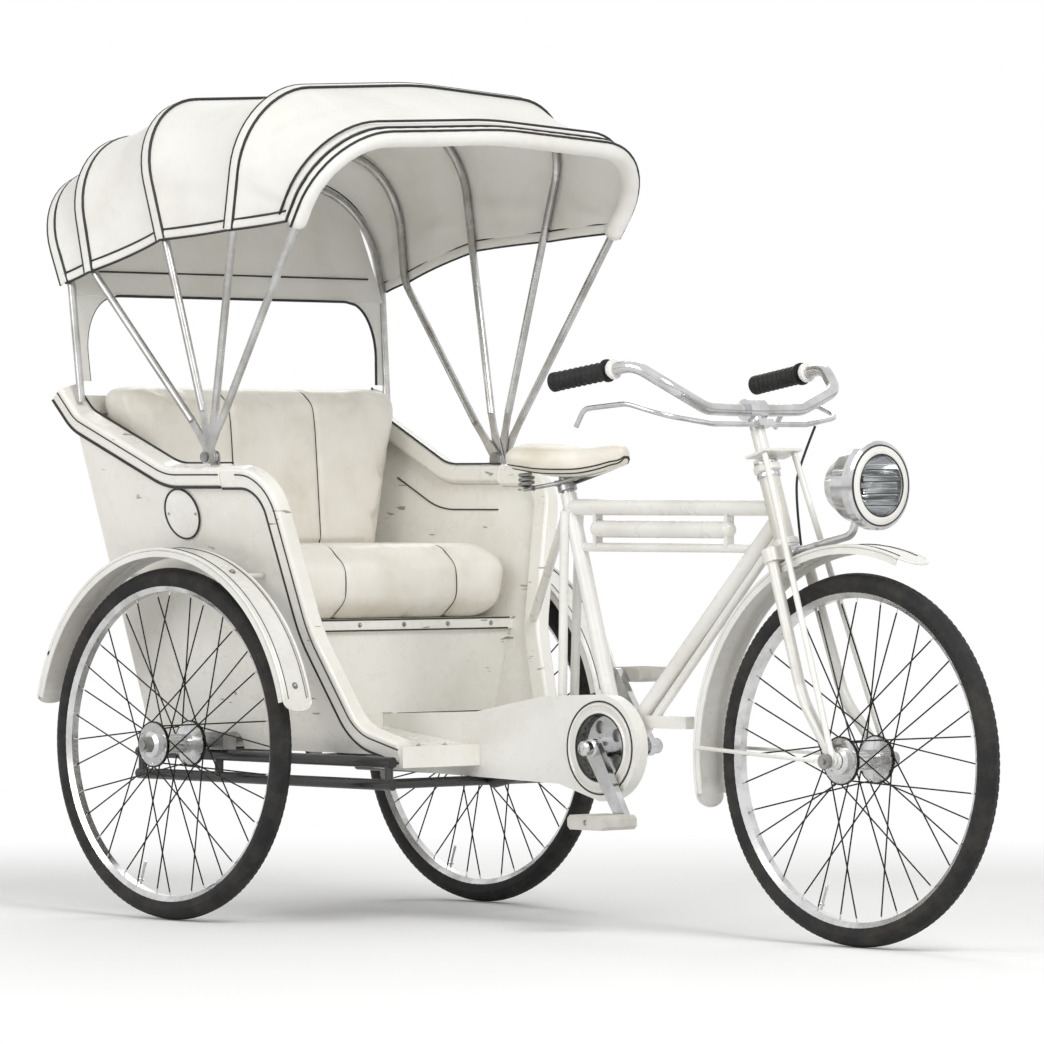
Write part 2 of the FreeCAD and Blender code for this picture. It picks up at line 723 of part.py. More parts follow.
def make_pedal(name, eye, side):
    """Two rubber blocks between end plates, round a barrel that runs on the crank's pin."""
    half_length = D.pedal_length / 2
    half_thick = D.pedal_thick / 2
    cut_off = half_thick / 2
    block = half_length * 0.56
    plate = 5
    outline = [(-half_length, -half_thick + cut_off), (-half_length + cut_off, -half_thick),
               (half_length - cut_off, -half_thick), (half_length, -half_thick + cut_off),
               (half_length, half_thick - cut_off), (half_length - cut_off, half_thick),
               (-half_length + cut_off, half_thick), (-half_length, half_thick - cut_off)]
    whole = padded(name + "_blocks", "XZ_Plane", D.pedal_width, [outline])
    gap = half_length - block
    slot = doc.addObject("Part::Box", name + "_slot")
    bind(slot, "Length", gap * 2)
    bind(slot, "Width", D.pedal_width - 2 * plate)
    bind(slot, "Height", D.pedal_thick * 2)
    slot.Placement = Placement(Vector(-float(gap), -float(slot.Width) / 2, -val("pedal_thick")),
                               Rotation())
    reach = val("pedal_width") / 2
    barrel = cylinder(name + "_barrel", D.pin_radius + 4, Vector(0, -reach, 0), Vector(0, reach, 0))
    bore = cylinder(name + "_bore", D.pin_radius + D.running_gap, Vector(0, -reach - 1, 0),
                    Vector(0, reach + 1, 0))
    pedal = cut(name, fused(name + "_solid", [cut(name + "_cage", whole, slot), barrel]), bore)
    middle = side * (val("pedal_inner") + reach)
    pedal.Placement = Placement(across(eye, middle), Rotation())


def tangent_points(radius_front, radius_rear):
    """Where a belt leaves the front and rear circles, on its upper and its lower run."""
    link = BOTTOM - REAR_AXLE
    lie = atan2(link.z, link.x)
    turn = pi / 2 + atan2(radius_front - radius_rear, link.Length)
    points = {}
    for name, sign in (("upper", 1), ("lower", -1)):
        normal = Vector(cos(lie + sign * turn), 0, sin(lie + sign * turn))
        points[name] = (BOTTOM + normal * radius_front, REAR_AXLE + normal * radius_rear)
    return points


def belt_face(offset, y):
    """The area inside a belt that runs round chainring and sprocket, offset from the pitch line."""
    front = float(RING_PITCH) + offset
    rear = float(SPROCKET_PITCH) + offset
    points = tangent_points(front, rear)
    top, low = points["upper"], points["lower"]
    nose = BOTTOM + Vector(front, 0, 0)
    tail = REAR_AXLE - Vector(rear, 0, 0)
    edges = [Part.LineSegment(top[1], top[0]), Part.Arc(top[0], nose, low[0]),
             Part.LineSegment(low[0], low[1]), Part.Arc(low[1], tail, top[1])]
    wire = Part.Wire([edge.toShape() for edge in edges])
    wire.translate(Vector(0, y, 0))
    return Part.Face(wire)


def make_chain():
    """Two loops of side plates, joined by rollers along the straight runs only."""
    half = val("chain_height") / 2
    plate = (val("chain_width") - val("plate_thick")) / 2 - val("seat_gap")
    left_face = CHAIN_Y + val("chain_width") / 2 - plate
    right_face = CHAIN_Y - val("chain_width") / 2
    loops = []
    for face in (left_face, right_face):
        outer = belt_face(half, face).extrude(Vector(0, plate, 0))
        inner = belt_face(-half, face).extrude(Vector(0, plate, 0))
        loops.append(outer.cut(inner))
    core = []
    clear = val("chain_pitch") * 2.5
    for front, rear in tangent_points(float(RING_PITCH), float(SPROCKET_PITCH)).values():
        way = (front - rear).normalize()
        up = Vector(-way.z, 0, way.x) * (half * 0.6)
        start, end = rear + way * clear, front - way * clear
        corners = [start - up, end - up, end + up, start + up, start - up]
        strip = Part.Face(Part.makePolygon([across(point, right_face) for point in corners]))
        core.append(strip.extrude(Vector(0, val("chain_width"), 0)))
    return feature("chain", loops[0].multiFuse([loops[1]] + core))


def run_height(name, x):
    """Height of the chain's middle on one of its runs, at a station."""
    front, rear = tangent_points(float(RING_PITCH), float(SPROCKET_PITCH))[name]
    share = (AXLE_X + x - rear.x) / (front.x - rear.x)
    return rear.z + (front.z - rear.z) * share


def make_rear_axle():
    """The live axle: shaft, sprocket on its collar, and a nut outside each wheel."""
    end = float(D.track / 2 + D.hub_half + D.nut_thick) + 6
    parts = [cylinder("axle_shaft", D.rear_shaft, across(REAR_AXLE, -end), across(REAR_AXLE, end))]
    collar = val("chain_width") * 1.6
    parts.append(cylinder("axle_collar", D.rear_shaft * 2, across(REAR_AXLE, CHAIN_Y - collar),
                          across(REAR_AXLE, CHAIN_Y + collar)))
    sprocket = toothed("axle_sprocket", "sprocket_teeth", SPROCKET_PITCH, D.rear_shaft)
    sprocket.Placement = Placement(across(REAR_AXLE, CHAIN_Y), Rotation())
    parts.append(sprocket)
    nut_y = float(D.track / 2 + D.hub_half + D.seat_gap)
    parts.append(axle_nut("axle_nut_left", across(REAR_AXLE, nut_y)))
    parts.append(axle_nut("axle_nut_right", across(REAR_AXLE, -nut_y - val("nut_thick"))))
    fused("rear_axle", parts)


make_crank()
for side_name, side in SIDES:
    make_pedal("pedal_" + side_name, PEDAL_PLACE[side_name], side)
make_chain()
make_rear_axle()


# ---------------------------------------------------------------- bicycle frame
CLUSTER = station(val("cluster_station"), 0, val("cluster_height"))
SADDLE_TOP = CLUSTER.z + val("saddle_rise")
SHELL_HALF = D.chain_offset - D.case_half - D.seat_gap


def on_head(height):
    """A point of the steering axis at a height over the ground."""
    return on_steering(0, 0, steering_up(height))


def sleeve(name, radius, start, end):
    """The space that a tube takes, a little larger, to trim what meets it."""
    way = (end - start).normalize() * 60
    return cylinder(name, radius, start - way, end + way)


def make_head_tube():
    low, high = D.head_low, D.head_high
    outline = [(D.steerer_radius + D.running_gap, low), (D.cup_radius, low),
               (D.cup_radius, low + D.cup_length - 4), (D.head_radius, low + D.cup_length),
               (D.head_radius, high - D.cup_length), (D.cup_radius, high - D.cup_length + 4),
               (D.cup_radius, high), (D.steerer_radius + D.running_gap, high)]
    revolved("head_tube", "XZ_Plane", [outline]).Placement = STEERING


def seat_axis(height):
    """A point of the seat tube's middle line at a height."""
    share = (height - BOTTOM.z) / (CLUSTER.z - BOTTOM.z)
    return BOTTOM + (CLUSTER - BOTTOM) * share


def make_frame():
    """Twin top tubes, twin down tubes and the seat tube, mitred where they meet."""
    head = sleeve("head_space", D.head_radius + D.seat_gap, on_head(700), on_head(950))
    seat = sleeve("seat_space", D.tube_radius + D.seat_gap, BOTTOM, CLUSTER)
    shell = cylinder("shell_space", D.shell_radius + D.seat_gap, across(BOTTOM, -60),
                     across(BOTTOM, 60))
    foot = BOTTOM
    crown = on_head(val("down_join"))
    way = (crown - foot).normalize()
    main_space = sleeve("down_space", D.tube_radius + D.seat_gap, foot, crown)
    upper = val("top_tube_height")
    lower = upper - val("twin_gap")
    tops = []
    for name, height, radius in (("upper", upper, D.tube_radius), ("lower", lower, D.slim_radius)):
        bar = cylinder(f"top_tube_{name}_bar", radius, seat_axis(height), on_head(height))
        ends = fused(f"top_tube_{name}_ends", [head, seat, main_space])
        tops.append(cut(f"top_tube_{name}", bar, ends))
    doc.recompute()
    whole = [max(bar.Shape.Solids, key=lambda solid: solid.Volume) for bar in tops]
    feature("top_tubes", Part.makeCompound(whole))

    below = Vector(way.z, 0, -way.x) * val("slim_offset")
    downs = []
    spaces = fused("down_tube_ends", [head, seat, shell])
    downs.append(cut("down_tube_main", cylinder("down_tube_main_bar", D.tube_radius, foot, crown),
                     spaces))
    slim = cylinder("down_tube_slim_bar", D.slim_radius, foot + below - way * 10,
                    crown + below * 0.85 - way * 12)
    cups = cylinder("cup_space", D.cup_radius + D.seat_gap, on_steering(0, 0, val("head_low") - 60),
                    on_steering(0, 0, val("head_low") + val("cup_length")))
    downs.append(cut("down_tube_slim", slim, fused("down_tube_slim_ends", [head, shell, cups])))
    stub = doc.addObject("Part::Box", "bumper_stub")
    bind(stub, "Length", D.stub_end - D.stub_start)
    bind(stub, "Width", D.stub_width)
    bind(stub, "Height", D.stub_width)
    stub.Placement = Placement(
        station(val("stub_start"), -val("stub_width") / 2, val("stub_height") - val("stub_width") / 2),
        Rotation())
    fused("down_tubes", downs + [stub])

    tube_bar = cylinder("seat_tube_bar", D.tube_radius, BOTTOM, CLUSTER)
    shell_bar = cylinder("shell_bar", D.shell_radius, across(BOTTOM, -SHELL_HALF),
                         across(BOTTOM, SHELL_HALF))
    bore = cylinder("shell_bore", D.spindle_radius + D.running_gap, across(BOTTOM, -90),
                    across(BOTTOM, 90))
    socket = cylinder("post_socket", D.post_radius + D.running_gap, seat_axis(CLUSTER.z - 150),
                      seat_axis(CLUSTER.z + 30))
    cut("seat_tube", fused("seat_tube_solid", [tube_bar, shell_bar]),
        fused("seat_tube_bores", [bore, socket]))


def make_stays():
    """Two stays from the seat cluster down to the middle cross beam, and one out to the tub."""
    seat = doc.getObject("seat_space")
    stays = []
    top_z = CLUSTER.z - 34
    bridge = spine_point(val("stay_foot")) + Vector(0, 0, val("tube_radius") + 3)
    bridge_space = cylinder("bridge_space", D.cross_radius + D.seat_gap,
                            across(bridge, -60), across(bridge, 60))
    for side_name, side in SIDES:
        top = seat_axis(top_z) + Vector(0, side * (val("tube_radius") + 4), 0)
        bar = cylinder("seat_stay_bar_" + side_name, D.slim_radius, top,
                       across(bridge, side * val("stay_spread")))
        stays.append(cut("seat_stay_" + side_name, bar,
                         fused("seat_stay_ends_" + side_name, [seat, bridge_space])))
    height = val("body_stay_height")
    inside = tub_half(height) - val("side_thick") - val("member_thick") / 4
    tub = station(val("body_stay_station"), inside, height)
    bar = cylinder("body_stay_bar", D.slim_radius, seat_axis(top_z + 20), tub)
    member_space = feature("body_stay_member", member_shape(1, 2 * val("seat_gap")))
    member_space.Placement = side_frame(1)
    flats = [seat, member_space, doc.getObject("seat_stay_bar_left"),
             doc.getObject("seat_stay_bar_right")]
    stays.append(cut("body_stay", bar, fused("body_stay_ends", flats)))
    gathered("seat_stays", stays)


# ---------------------------------------------------------------- saddle
def saddle_section(x, half, thick, drop, top):
    """A closed outline across the saddle at one station: domed over, turned in below."""
    low = top - thick
    left = Vector(x, half, low + drop)
    right = Vector(x, -half, low + drop)
    crown = Part.Arc(right, Vector(x, 0, top), left).toShape()
    belly = Part.Arc(left, Vector(x, 0, low + drop * 0.4), right).toShape()
    return Part.Wire([crown, belly])


def make_saddle():
    """A broad sprung saddle: a loft through five sections from its tail to its nose."""
    tail = val("saddle_rear")
    length = val("saddle_length")
    half, nose = val("saddle_half"), val("saddle_nose")
    top, thick = SADDLE_TOP, val("saddle_thick")
    rows = ((0.00, half * 0.66, thick * 0.66, 0), (0.10, half * 0.97, thick * 0.94, 2),
            (0.34, half * 0.86, thick, -4), (0.62, nose * 1.75, thick * 0.92, -8),
            (0.90, nose * 1.06, thick * 0.74, -2), (1.00, nose * 0.62, thick * 0.50, -8))
    wires = []
    for share, width, depth, lift in rows:
        x = station(tail + share * length, 0, 0).x
        wires.append(saddle_section(x, width, depth, depth * 0.3, top + lift))
    feature("saddle", Part.makeLoft(wires, True, False))


def spring(x, y, low, high):
    """An upright coil spring as one swept helix of six-sided wire."""
    radius = val("spring_radius") - val("spring_wire")
    wire = val("spring_wire")
    rise = high - low - 2 * wire
    helix = Part.makeHelix(rise / val("spring_turns"), rise, radius)
    corners = [Vector(radius + wire * cos(turn * pi / 3), 0, wire * sin(turn * pi / 3))
               for turn in range(7)]
    coil = Part.Wire(helix.Edges).makePipeShell([Part.makePolygon(corners)], True, True)
    coil.translate(Vector(x, y, low + wire))
    return coil


def make_saddle_frame():
    """Saddle post, clamp, rails and the two coil springs under the saddle's tail."""
    belly = SADDLE_TOP - val("saddle_thick") - 1
    top = seat_axis(belly)
    low = seat_axis(CLUSTER.z - 140)
    post = Part.makeCylinder(val("post_radius"), (top - low).Length, low, top - low)
    clamp_z = CLUSTER.z + 6
    collar_low = seat_axis(clamp_z)
    way = (CLUSTER - BOTTOM).normalize()
    collar = Part.makeCylinder(val("tube_radius") + 3, 16, collar_low, way)
    plate_x = station(val("saddle_rear") + 10, 0, 0).x
    nose_x = station(val("saddle_rear") + val("saddle_length") * 0.82, 0, 0).x
    spread = val("saddle_half") * 0.56
    rail_z = CLUSTER.z + 8
    rails = []
    for side in (-1, 1):
        spring_x = station(val("saddle_rear") + val("saddle_length") * 0.16, 0, 0).x
        route = [Vector(spring_x - 8, side * spread, rail_z), Vector(top.x, side * 22, rail_z + 12),
                 Vector(nose_x, side * 7, belly + 14)]
        rails.append(swept(route, [60], 4))
        foot = Part.makeCylinder(val("spring_radius"), 4, Vector(spring_x, side * spread, rail_z - 2))
        rails.append(foot)
        rails.append(spring(spring_x, side * spread, rail_z + 1, belly + 8))
    bridge = Part.makeCylinder(6, 50, Vector(top.x, -25, rail_z + 12), Vector(0, 1, 0))
    cover = doc.getObject("saddle").Shape.copy()
    cover.translate(Vector(0, 0, -val("seat_gap")))
    frame_shape = post.multiFuse([collar, bridge] + rails).cut(cover)
    feature("saddle_frame", max(frame_shape.Solids, key=lambda solid: solid.Volume))


make_head_tube()
make_frame()


# ---------------------------------------------------------------- fork and what turns with it
AXLE_LOCAL = STEERING.inverse().multVec(FRONT_AXLE)
# outer face of the fork ends and their stays on the spindle, from the middle
STAY_OUT = val("hub_half") + 2 + val("dropout_thick") * 1.5 + 2 * val("fork_stay_radius")


def make_fork():
    """Column, crown, two raked blades and the straight stays in front of them, brazed together."""
    column_top = val("head_high") + val("locknut_length") + 60
    low = val("head_low") - val("seat_gap")
    crown_low = low - 5 - val("crown_thick")
    column = Part.makeCylinder(val("steerer_radius"), column_top - crown_low, Vector(0, 0, crown_low))
    race = Part.makeCylinder(val("cup_radius") - 2, 5, Vector(0, 0, low - 5))
    half, depth, thick = val("crown_width") / 2, val("crown_depth"), val("crown_thick")
    block = Part.makeBox(depth, 2 * half, thick, Vector(-depth / 2, -half, crown_low))
    upright = [edge for edge in block.Edges
               if abs(edge.Vertexes[0].Z - edge.Vertexes[-1].Z) > thick / 2]
    block = block.makeFillet(depth * 0.42, upright)
    nut_low = val("head_high") + val("seat_gap")
    locknut = Part.makeCylinder(val("cup_radius") - 3, val("locknut_length"), Vector(0, 0, nut_low))
    bracket_up = nut_low + val("locknut_length")
    reach = val("stay_offset")
    plate = Part.makeBox(reach + 12, 2 * reach + 24, 5, Vector(0, -reach - 12, bracket_up))
    parts = [column, race, block, locknut, plate]
    for side in (-1, 1):
        end_y = side * (val("hub_half") + val("dropout_thick") / 2 + 2)
        top = Vector(0, side * val("blade_offset"), crown_low + thick / 2)
        bend = Vector(0, side * (val("blade_offset") + 9), val("blade_bend"))
        end = Vector(AXLE_LOCAL.x, end_y, AXLE_LOCAL.z)
        parts.append(swept([top, bend, end], [170], val("blade_radius")))
        flat = val("dropout_thick")
        parts.append(Part.makeCylinder(val("dropout_radius"), flat,
                                       Vector(end.x, end_y - flat / 2, end.z), Vector(0, 1, 0)))
        high = Vector(reach, side * reach, bracket_up + 3)
        stay_y = end_y + side * (flat / 2 + val("fork_stay_radius") - 1)
        low_end = Vector(AXLE_LOCAL.x + 4, stay_y, AXLE_LOCAL.z)
        parts.append(swept([high, high + Vector(2, side * 3, -60), low_end], [200],
                           val("fork_stay_radius")))
        parts.append(Part.makeCylinder(val("fork_stay_radius") + 6, flat,
                                       Vector(end.x, stay_y - flat / 2, end.z), Vector(0, 1, 0)))
    solid = parts[0].multiFuse(parts[1:])
    bore = Part.makeCylinder(val("front_spindle") + val("running_gap") / 2, 300,
                             Vector(AXLE_LOCAL.x, -150, AXLE_LOCAL.z), Vector(0, 1, 0))
    hub_space = Part.makeCylinder(val("dropout_radius") * 2, 2 * (val("hub_half") + 2),
                                  Vector(AXLE_LOCAL.x, -val("hub_half") - 2, AXLE_LOCAL.z),
                                  Vector(0, 1, 0))
    return feature("fork", solid.cut(bore).cut(hub_space), STEERING)


def make_front_axle():
    """The front spindle with a spacer inside and a nut outside each blade."""
    blade_in = val("hub_half") + 2
    end = STAY_OUT + val("nut_thick") + 5
    spindle = Part.makeCylinder(val("front_spindle"), 2 * end, FRONT_AXLE - Vector(0, end, 0),
                                Vector(0, 1, 0))
    parts = []
    for side in (-1, 1):
        spacer = Part.makeCylinder(val("front_spindle") * 2, 1.4,
                                   FRONT_AXLE + Vector(0, side * (blade_in - 0.3), 0),
                                   Vector(0, -side, 0))
        nut = Part.makeCylinder(val("nut_across") - 3, val("nut_thick"),
                                FRONT_AXLE + Vector(0, side * (STAY_OUT + 0.3), 0),
                                Vector(0, side, 0))
        parts += [spacer, nut]
    feature("front_axle", spindle.multiFuse(parts))


def bar_route(side):
    """The handlebar's bends on one side, from its clamp to its end."""
    clamp = on_steering(0, 0, val("clamp_height"))
    half, rise, sweep = val("bar_half"), val("bar_rise"), val("bar_sweep")
    return [clamp, clamp + Vector(0, side * half * 0.2, 0),
            clamp + Vector(4, side * half * 0.47, 2),
            clamp + Vector(5, side * half * 0.81, rise * 0.48),
            clamp + Vector(-sweep * 0.23, side * (half - 16), rise),
            clamp + Vector(-sweep, side * half, rise - 30)]


BAR_BENDS = [55, 70, 50, 62]
LEVER_BENDS = [60, 55, 60, 26]


def make_handlebar():
    """Quill stem, swept-back bar and the two brake lever rods under it."""
    clamp = on_steering(0, 0, val("clamp_height"))
    parts = []
    for side in (-1, 1):
        route = bar_route(side)
        parts.append(swept(route, BAR_BENDS, val("bar_radius")))
    sleeve_half = val("clamp_length") / 2
    parts.append(Part.makeCylinder(val("clamp_radius"), 2 * sleeve_half,
                                   clamp - Vector(0, sleeve_half, 0), Vector(0, 1, 0)))
    column_top = val("head_high") + val("locknut_length") + 60
    low = on_steering(0, 0, column_top + 0.3)
    parts.append(Part.makeCylinder(val("steerer_radius"), (clamp - low).Length, low, clamp - low))
    drop = val("lever_drop")
    rod = val("lever_radius")
    for side in (-1, 1):
        route = bar_route(side)
        start = on_steering(16, side * 14, val("clamp_height") - drop * 0.66)
        knee = start + Vector(-8, side * 112, 0)
        shoulder = route[3] + Vector(-4, side * 14, -drop)
        heel = route[4] + Vector(-20, 0, -drop * 1.4)
        tip = route[5] + Vector(75, side * -4, -drop)
        hook = tip + Vector(-22, 0, -34)
        parts.append(swept([start, knee, shoulder, heel, tip, hook], LEVER_BENDS, rod))
    yoke = Part.makeBox(22, 40, 12)
    yoke.Placement = Placement(on_steering(6, -20, val("clamp_height") - drop * 0.66 - 5),
                               Rotation(Vector(0, 1, 0), -val("head_lean")))
    parts.append(yoke)
    feature("handlebar", parts[0].multiFuse(parts[1:]))


def make_grips():
    """Rubber grips with ribs, on the bar's last straight stretch."""
    grips = []
    for side in (-1, 1):
        route = bar_route(side)
        way = (route[5] - route[4]).normalize()
        end = route[5] + way * 4
        length, radius = val("grip_length"), val("grip_radius")
        bore = val("bar_radius") + 0.2
        count = 9
        pitch = (length - 16) / count
        edge = [Vector(bore, 0, 4), Vector(0, 0, 4), Vector(0, 0, 0), Vector(radius, 0, 0),
                Vector(radius, 0, 8)]
        for index in range(count):
            up = 8 + index * pitch
            edge += [Vector(radius - 2.2, 0, up + pitch * 0.25),
                     Vector(radius - 2.2, 0, up + pitch * 0.6), Vector(radius, 0, up + pitch * 0.85)]
        edge += [Vector(radius, 0, length - 6), Vector(radius + 3, 0, length - 5),
                 Vector(radius + 3, 0, length), Vector(bore, 0, length), edge[0]]
        grip = Part.Face(Part.makePolygon(edge)).revolve(Vector(0, 0, 0), Vector(0, 0, 1), 360)
        grip.Placement = Placement(end, Rotation(Vector(0, 0, 1), way * -1))
        grips.append(grip)
    feature("grips", Part.makeCompound(grips))


def arc_sheet(centre, radius, thick, half, start, end):
    """A strip of sheet bent round a centre, from one angle to another, with rolled-down sides."""
    skirt = val("guard_skirt")
    round_in = skirt * 0.7
    outline = [Vector(radius - skirt, half, 0), Vector(radius - round_in * 0.3, half, 0),
               Vector(radius + thick, half - round_in, 0), Vector(radius + thick, -half + round_in, 0),
               Vector(radius - round_in * 0.3, -half, 0), Vector(radius - skirt, -half, 0),
               Vector(radius - skirt, -half + thick, 0),
               Vector(radius - round_in * 0.3 - thick * 0.4, -half + thick, 0),
               Vector(radius, -half + round_in + thick * 0.4, 0),
               Vector(radius, half - round_in - thick * 0.4, 0),
               Vector(radius - round_in * 0.3 - thick * 0.4, half - thick, 0),
               Vector(radius - skirt, half - thick, 0)]
    section = Part.Face(Part.makePolygon(outline + [outline[0]]))
    sheet_shape = section.revolve(Vector(0, 0, 0), Vector(0, 1, 0), -(end - start))
    sheet_shape.rotate(Vector(0, 0, 0), Vector(0, 1, 0), -start)
    sheet_shape.translate(centre)
    return sheet_shape


def polar(centre, radius, angle, y=0):
    """A point round a wheel's centre; the angle runs up from straight ahead."""
    turn = radians(angle)
    return centre + Vector(radius * cos(turn), y, radius * sin(turn))


def make_front_guard():
    """The front mudguard, its lug under the crown, and a stay each side to the front spindle."""
    half = val("guard_half")
    inner = val("front_guard_inner")
    parts = [arc_sheet(FRONT_AXLE, inner, val("guard_sheet"), half,
                       val("guard_front_tip"), val("guard_front_low"))]
    rod, tab = val("stay_radius"), 3
    low_angle = val("guard_front_low") - 13
    skirt_radius = inner - val("guard_skirt") / 2
    eye_y = STAY_OUT - 2
    eye = val("fork_stay_radius") + 6
    for side in (-1, 1):
        foot = polar(FRONT_AXLE, skirt_radius, low_angle, side * (half + rod - 1))
        end = FRONT_AXLE + Vector(-34, side * (eye_y + 1), 0)
        bend = polar(FRONT_AXLE, 130, low_angle, side * (eye_y + 1))
        parts.append(swept([foot, bend, end], [150], rod))
        ring = Part.makeCylinder(eye, tab, FRONT_AXLE + Vector(0, side * eye_y - tab / 2, 0),
                                 Vector(0, 1, 0))
        arm = Part.makeBox(42, tab, 2 * rod, FRONT_AXLE + Vector(-42, side * eye_y - tab / 2, -rod))
        hole = Part.makeCylinder(val("front_spindle") + val("running_gap"), 3 * tab,
                                 FRONT_AXLE + Vector(0, side * eye_y - 1.5 * tab, 0), Vector(0, 1, 0))
        parts += [ring.fuse(arm).cut(hole)]
    crown_low = val("head_low") - val("seat_gap") - 5 - val("crown_thick")
    reach = inner + val("guard_sheet") / 2
    sheet_up = AXLE_LOCAL.z + sqrt(reach ** 2 - AXLE_LOCAL.x ** 2)
    lug_block = Part.makeBox(24, 34, crown_low - val("seat_gap") - sheet_up,
                             Vector(-12, -17, sheet_up))
    lug_block.Placement = STEERING
    feature("front_guard", parts[0].multiFuse(parts[1:] + [lug_block]))


def make_lamp():
    """A deep bowl headlamp on a bracket from the fork crown, with a ribbed glass."""
    radius, depth, wall = val("lamp_radius"), val("lamp_depth"), val("lamp_wall")
    front = station(val("lamp_front"), 0, val("lamp_height"))
    rim = val("lamp_rim")
    outer = [Vector(-depth, 0, 0), Vector(-depth, 0, radius * 0.34), Vector(-depth * 0.86, 0, radius * 0.56),
             Vector(-depth * 0.55, 0, radius * 0.82), Vector(-rim, 0, radius * 0.92),
             Vector(-rim, 0, radius), Vector(-4, 0, radius), Vector(0, 0, radius - 5)]
    inner = [Vector(0, 0, radius - 5 - wall), Vector(-rim, 0, radius * 0.92 - wall - 2),
             Vector(-depth * 0.55, 0, radius * 0.82 - wall), Vector(-depth * 0.84, 0, radius * 0.5),
             Vector(-depth + wall, 0, radius * 0.3), Vector(-depth + wall, 0, 0)]
    bowl = Part.Face(Part.makePolygon(outer + inner + [outer[0]])).revolve(
        Vector(0, 0, 0), Vector(1, 0, 0), 360)
    bowl.translate(front)
    glass_radius = radius - 5 - wall - 4 * val("seat_gap")
    glass = Part.makeCylinder(glass_radius, val("glass_thick"),
                              Vector(front.x - 3.5, 0, front.z), Vector(1, 0, 0))
    feature("lamp_glass", glass)
    crown_up = val("head_low") - val("seat_gap") - 5 - val("crown_thick") / 2
    ahead = val("crown_depth") / 2 + val("seat_gap")
    plate = Part.makeBox(val("bracket_thick"), 36, val("crown_thick") - 4,
                         Vector(ahead, -18, crown_up - val("crown_thick") / 2 + 2))
    plate.Placement = STEERING
    start = on_steering(ahead + val("bracket_thick") / 2, 0, crown_up)
    under = Vector(front.x - depth * 0.55, 0, front.z - radius * 0.8)
    over_guard = (FRONT_AXLE.z + val("front_guard_inner") + val("guard_sheet")
                  + 2 * val("bracket_thick") + val("lamp_wall"))
    arm = swept([start, Vector(under.x - 8, 0, over_guard), under], [26], val("bracket_thick"))
    feature("lamp_shell", bowl.multiFuse([plate, arm]))


make_fork()
make_front_axle()
make_handlebar()
make_grips()
make_front_guard()
make_lamp()


# ---------------------------------------------------------------- chassis
CROSS_HEIGHT = D.tub_low - D.seat_gap - D.cross_radius
SPINE_START = station(val("cross_low") + val("cross_radius") + val("seat_gap"), 0,
                      val("rail_height") - val("rail_twin"))


def spine_point(x):
    """A point of the spine's middle line at a station."""
    share = (AXLE_X + x - SPINE_START.x) / (BOTTOM.x - SPINE_START.x)
    return SPINE_START + (BOTTOM - SPINE_START) * share


def make_chassis():
    """Twin side rails, cross tubes between them, and the spine that carries the bicycle's foot."""
    rails = []
    spaces = []
    low_height = val("rail_height") - val("rail_twin")
    for side_name, side in SIDES:
        y = side * val("rail_offset")
        for level, height in (("upper", val("rail_height")), ("lower", low_height)):
            ends = station(val("rail_rear"), y, height), station(val("rail_front"), y, height)
            rails.append(cylinder(f"rail_{level}_{side_name}", D.rail_radius, *ends))
            spaces.append(cylinder(f"rail_space_{level}_{side_name}",
                                   D.rail_radius + D.seat_gap, *ends))
        for index, x in enumerate((val("rail_rear") + 12, 0, val("rail_front") - 12)):
            rails.append(cylinder(f"rail_post_{index}_{side_name}", D.rail_radius * 0.8,
                                  station(x, y, low_height), station(x, y, val("rail_height"))))
    fused("chassis_rails", rails)

    reach = val("rail_offset")
    tubes = []
    for name in ("cross_rear", "cross_mid", "cross_front"):
        place = station(val(name), 0, float(CROSS_HEIGHT))
        tubes.append(cylinder(name, D.cross_radius, across(place, -reach), across(place, reach)))
    place = station(val("cross_low"), 0, low_height)
    tubes.append(cylinder("cross_low", D.cross_radius, across(place, -reach), across(place, reach)))
    ends = fused("cross_ends", spaces)
    gathered("cross_tubes", [cut(bar.Name + "_trimmed", bar, ends) for bar in tubes])

    shell = doc.getObject("shell_space")
    spine = cylinder("spine_bar", D.tube_radius, SPINE_START, BOTTOM)
    bridge = spine_point(val("stay_foot")) + Vector(0, 0, val("tube_radius") + 3)
    bridge_bar = cylinder("bridge_bar", D.cross_radius, across(bridge, -val("bridge_half")),
                          across(bridge, val("bridge_half")))
    brace = cylinder("brace_bar", D.slim_radius, across(SPINE_START, reach * 0.2),
                     BOTTOM + Vector(-val("shell_radius"), 18, -6))
    low = station(val("cross_low"), 0, low_height)
    low_space = cylinder("spine_cross_space", D.cross_radius + 2 * D.seat_gap,
                         across(low, -reach), across(low, reach))
    cut("spine", fused("spine_solid", [spine, bridge_bar, brace]),
        fused("spine_ends", [shell, low_space]))


def make_bearings():
    """A block on each upper rail in which the live axle turns."""
    blocks = []
    low = val("rail_height") + val("rail_radius") + val("seat_gap")
    for side_name, side in SIDES:
        block = doc.addObject("Part::Box", "block_" + side_name)
        bind(block, "Length", D.block_length)
        bind(block, "Width", D.block_width)
        block.Height = AXLE_Z + val("block_over") - low
        y = side * val("rail_offset")
        block.Placement = Placement(
            Vector(REAR_AXLE.x - val("block_length") / 2, y - val("block_width") / 2, low), Rotation())
        bore = cylinder("block_bore_" + side_name, D.rear_shaft + D.running_gap,
                        across(REAR_AXLE, y - 60), across(REAR_AXLE, y + 60))
        blocks.append(cut("bearing_" + side_name, block, bore))
    gathered("axle_bearings", blocks)


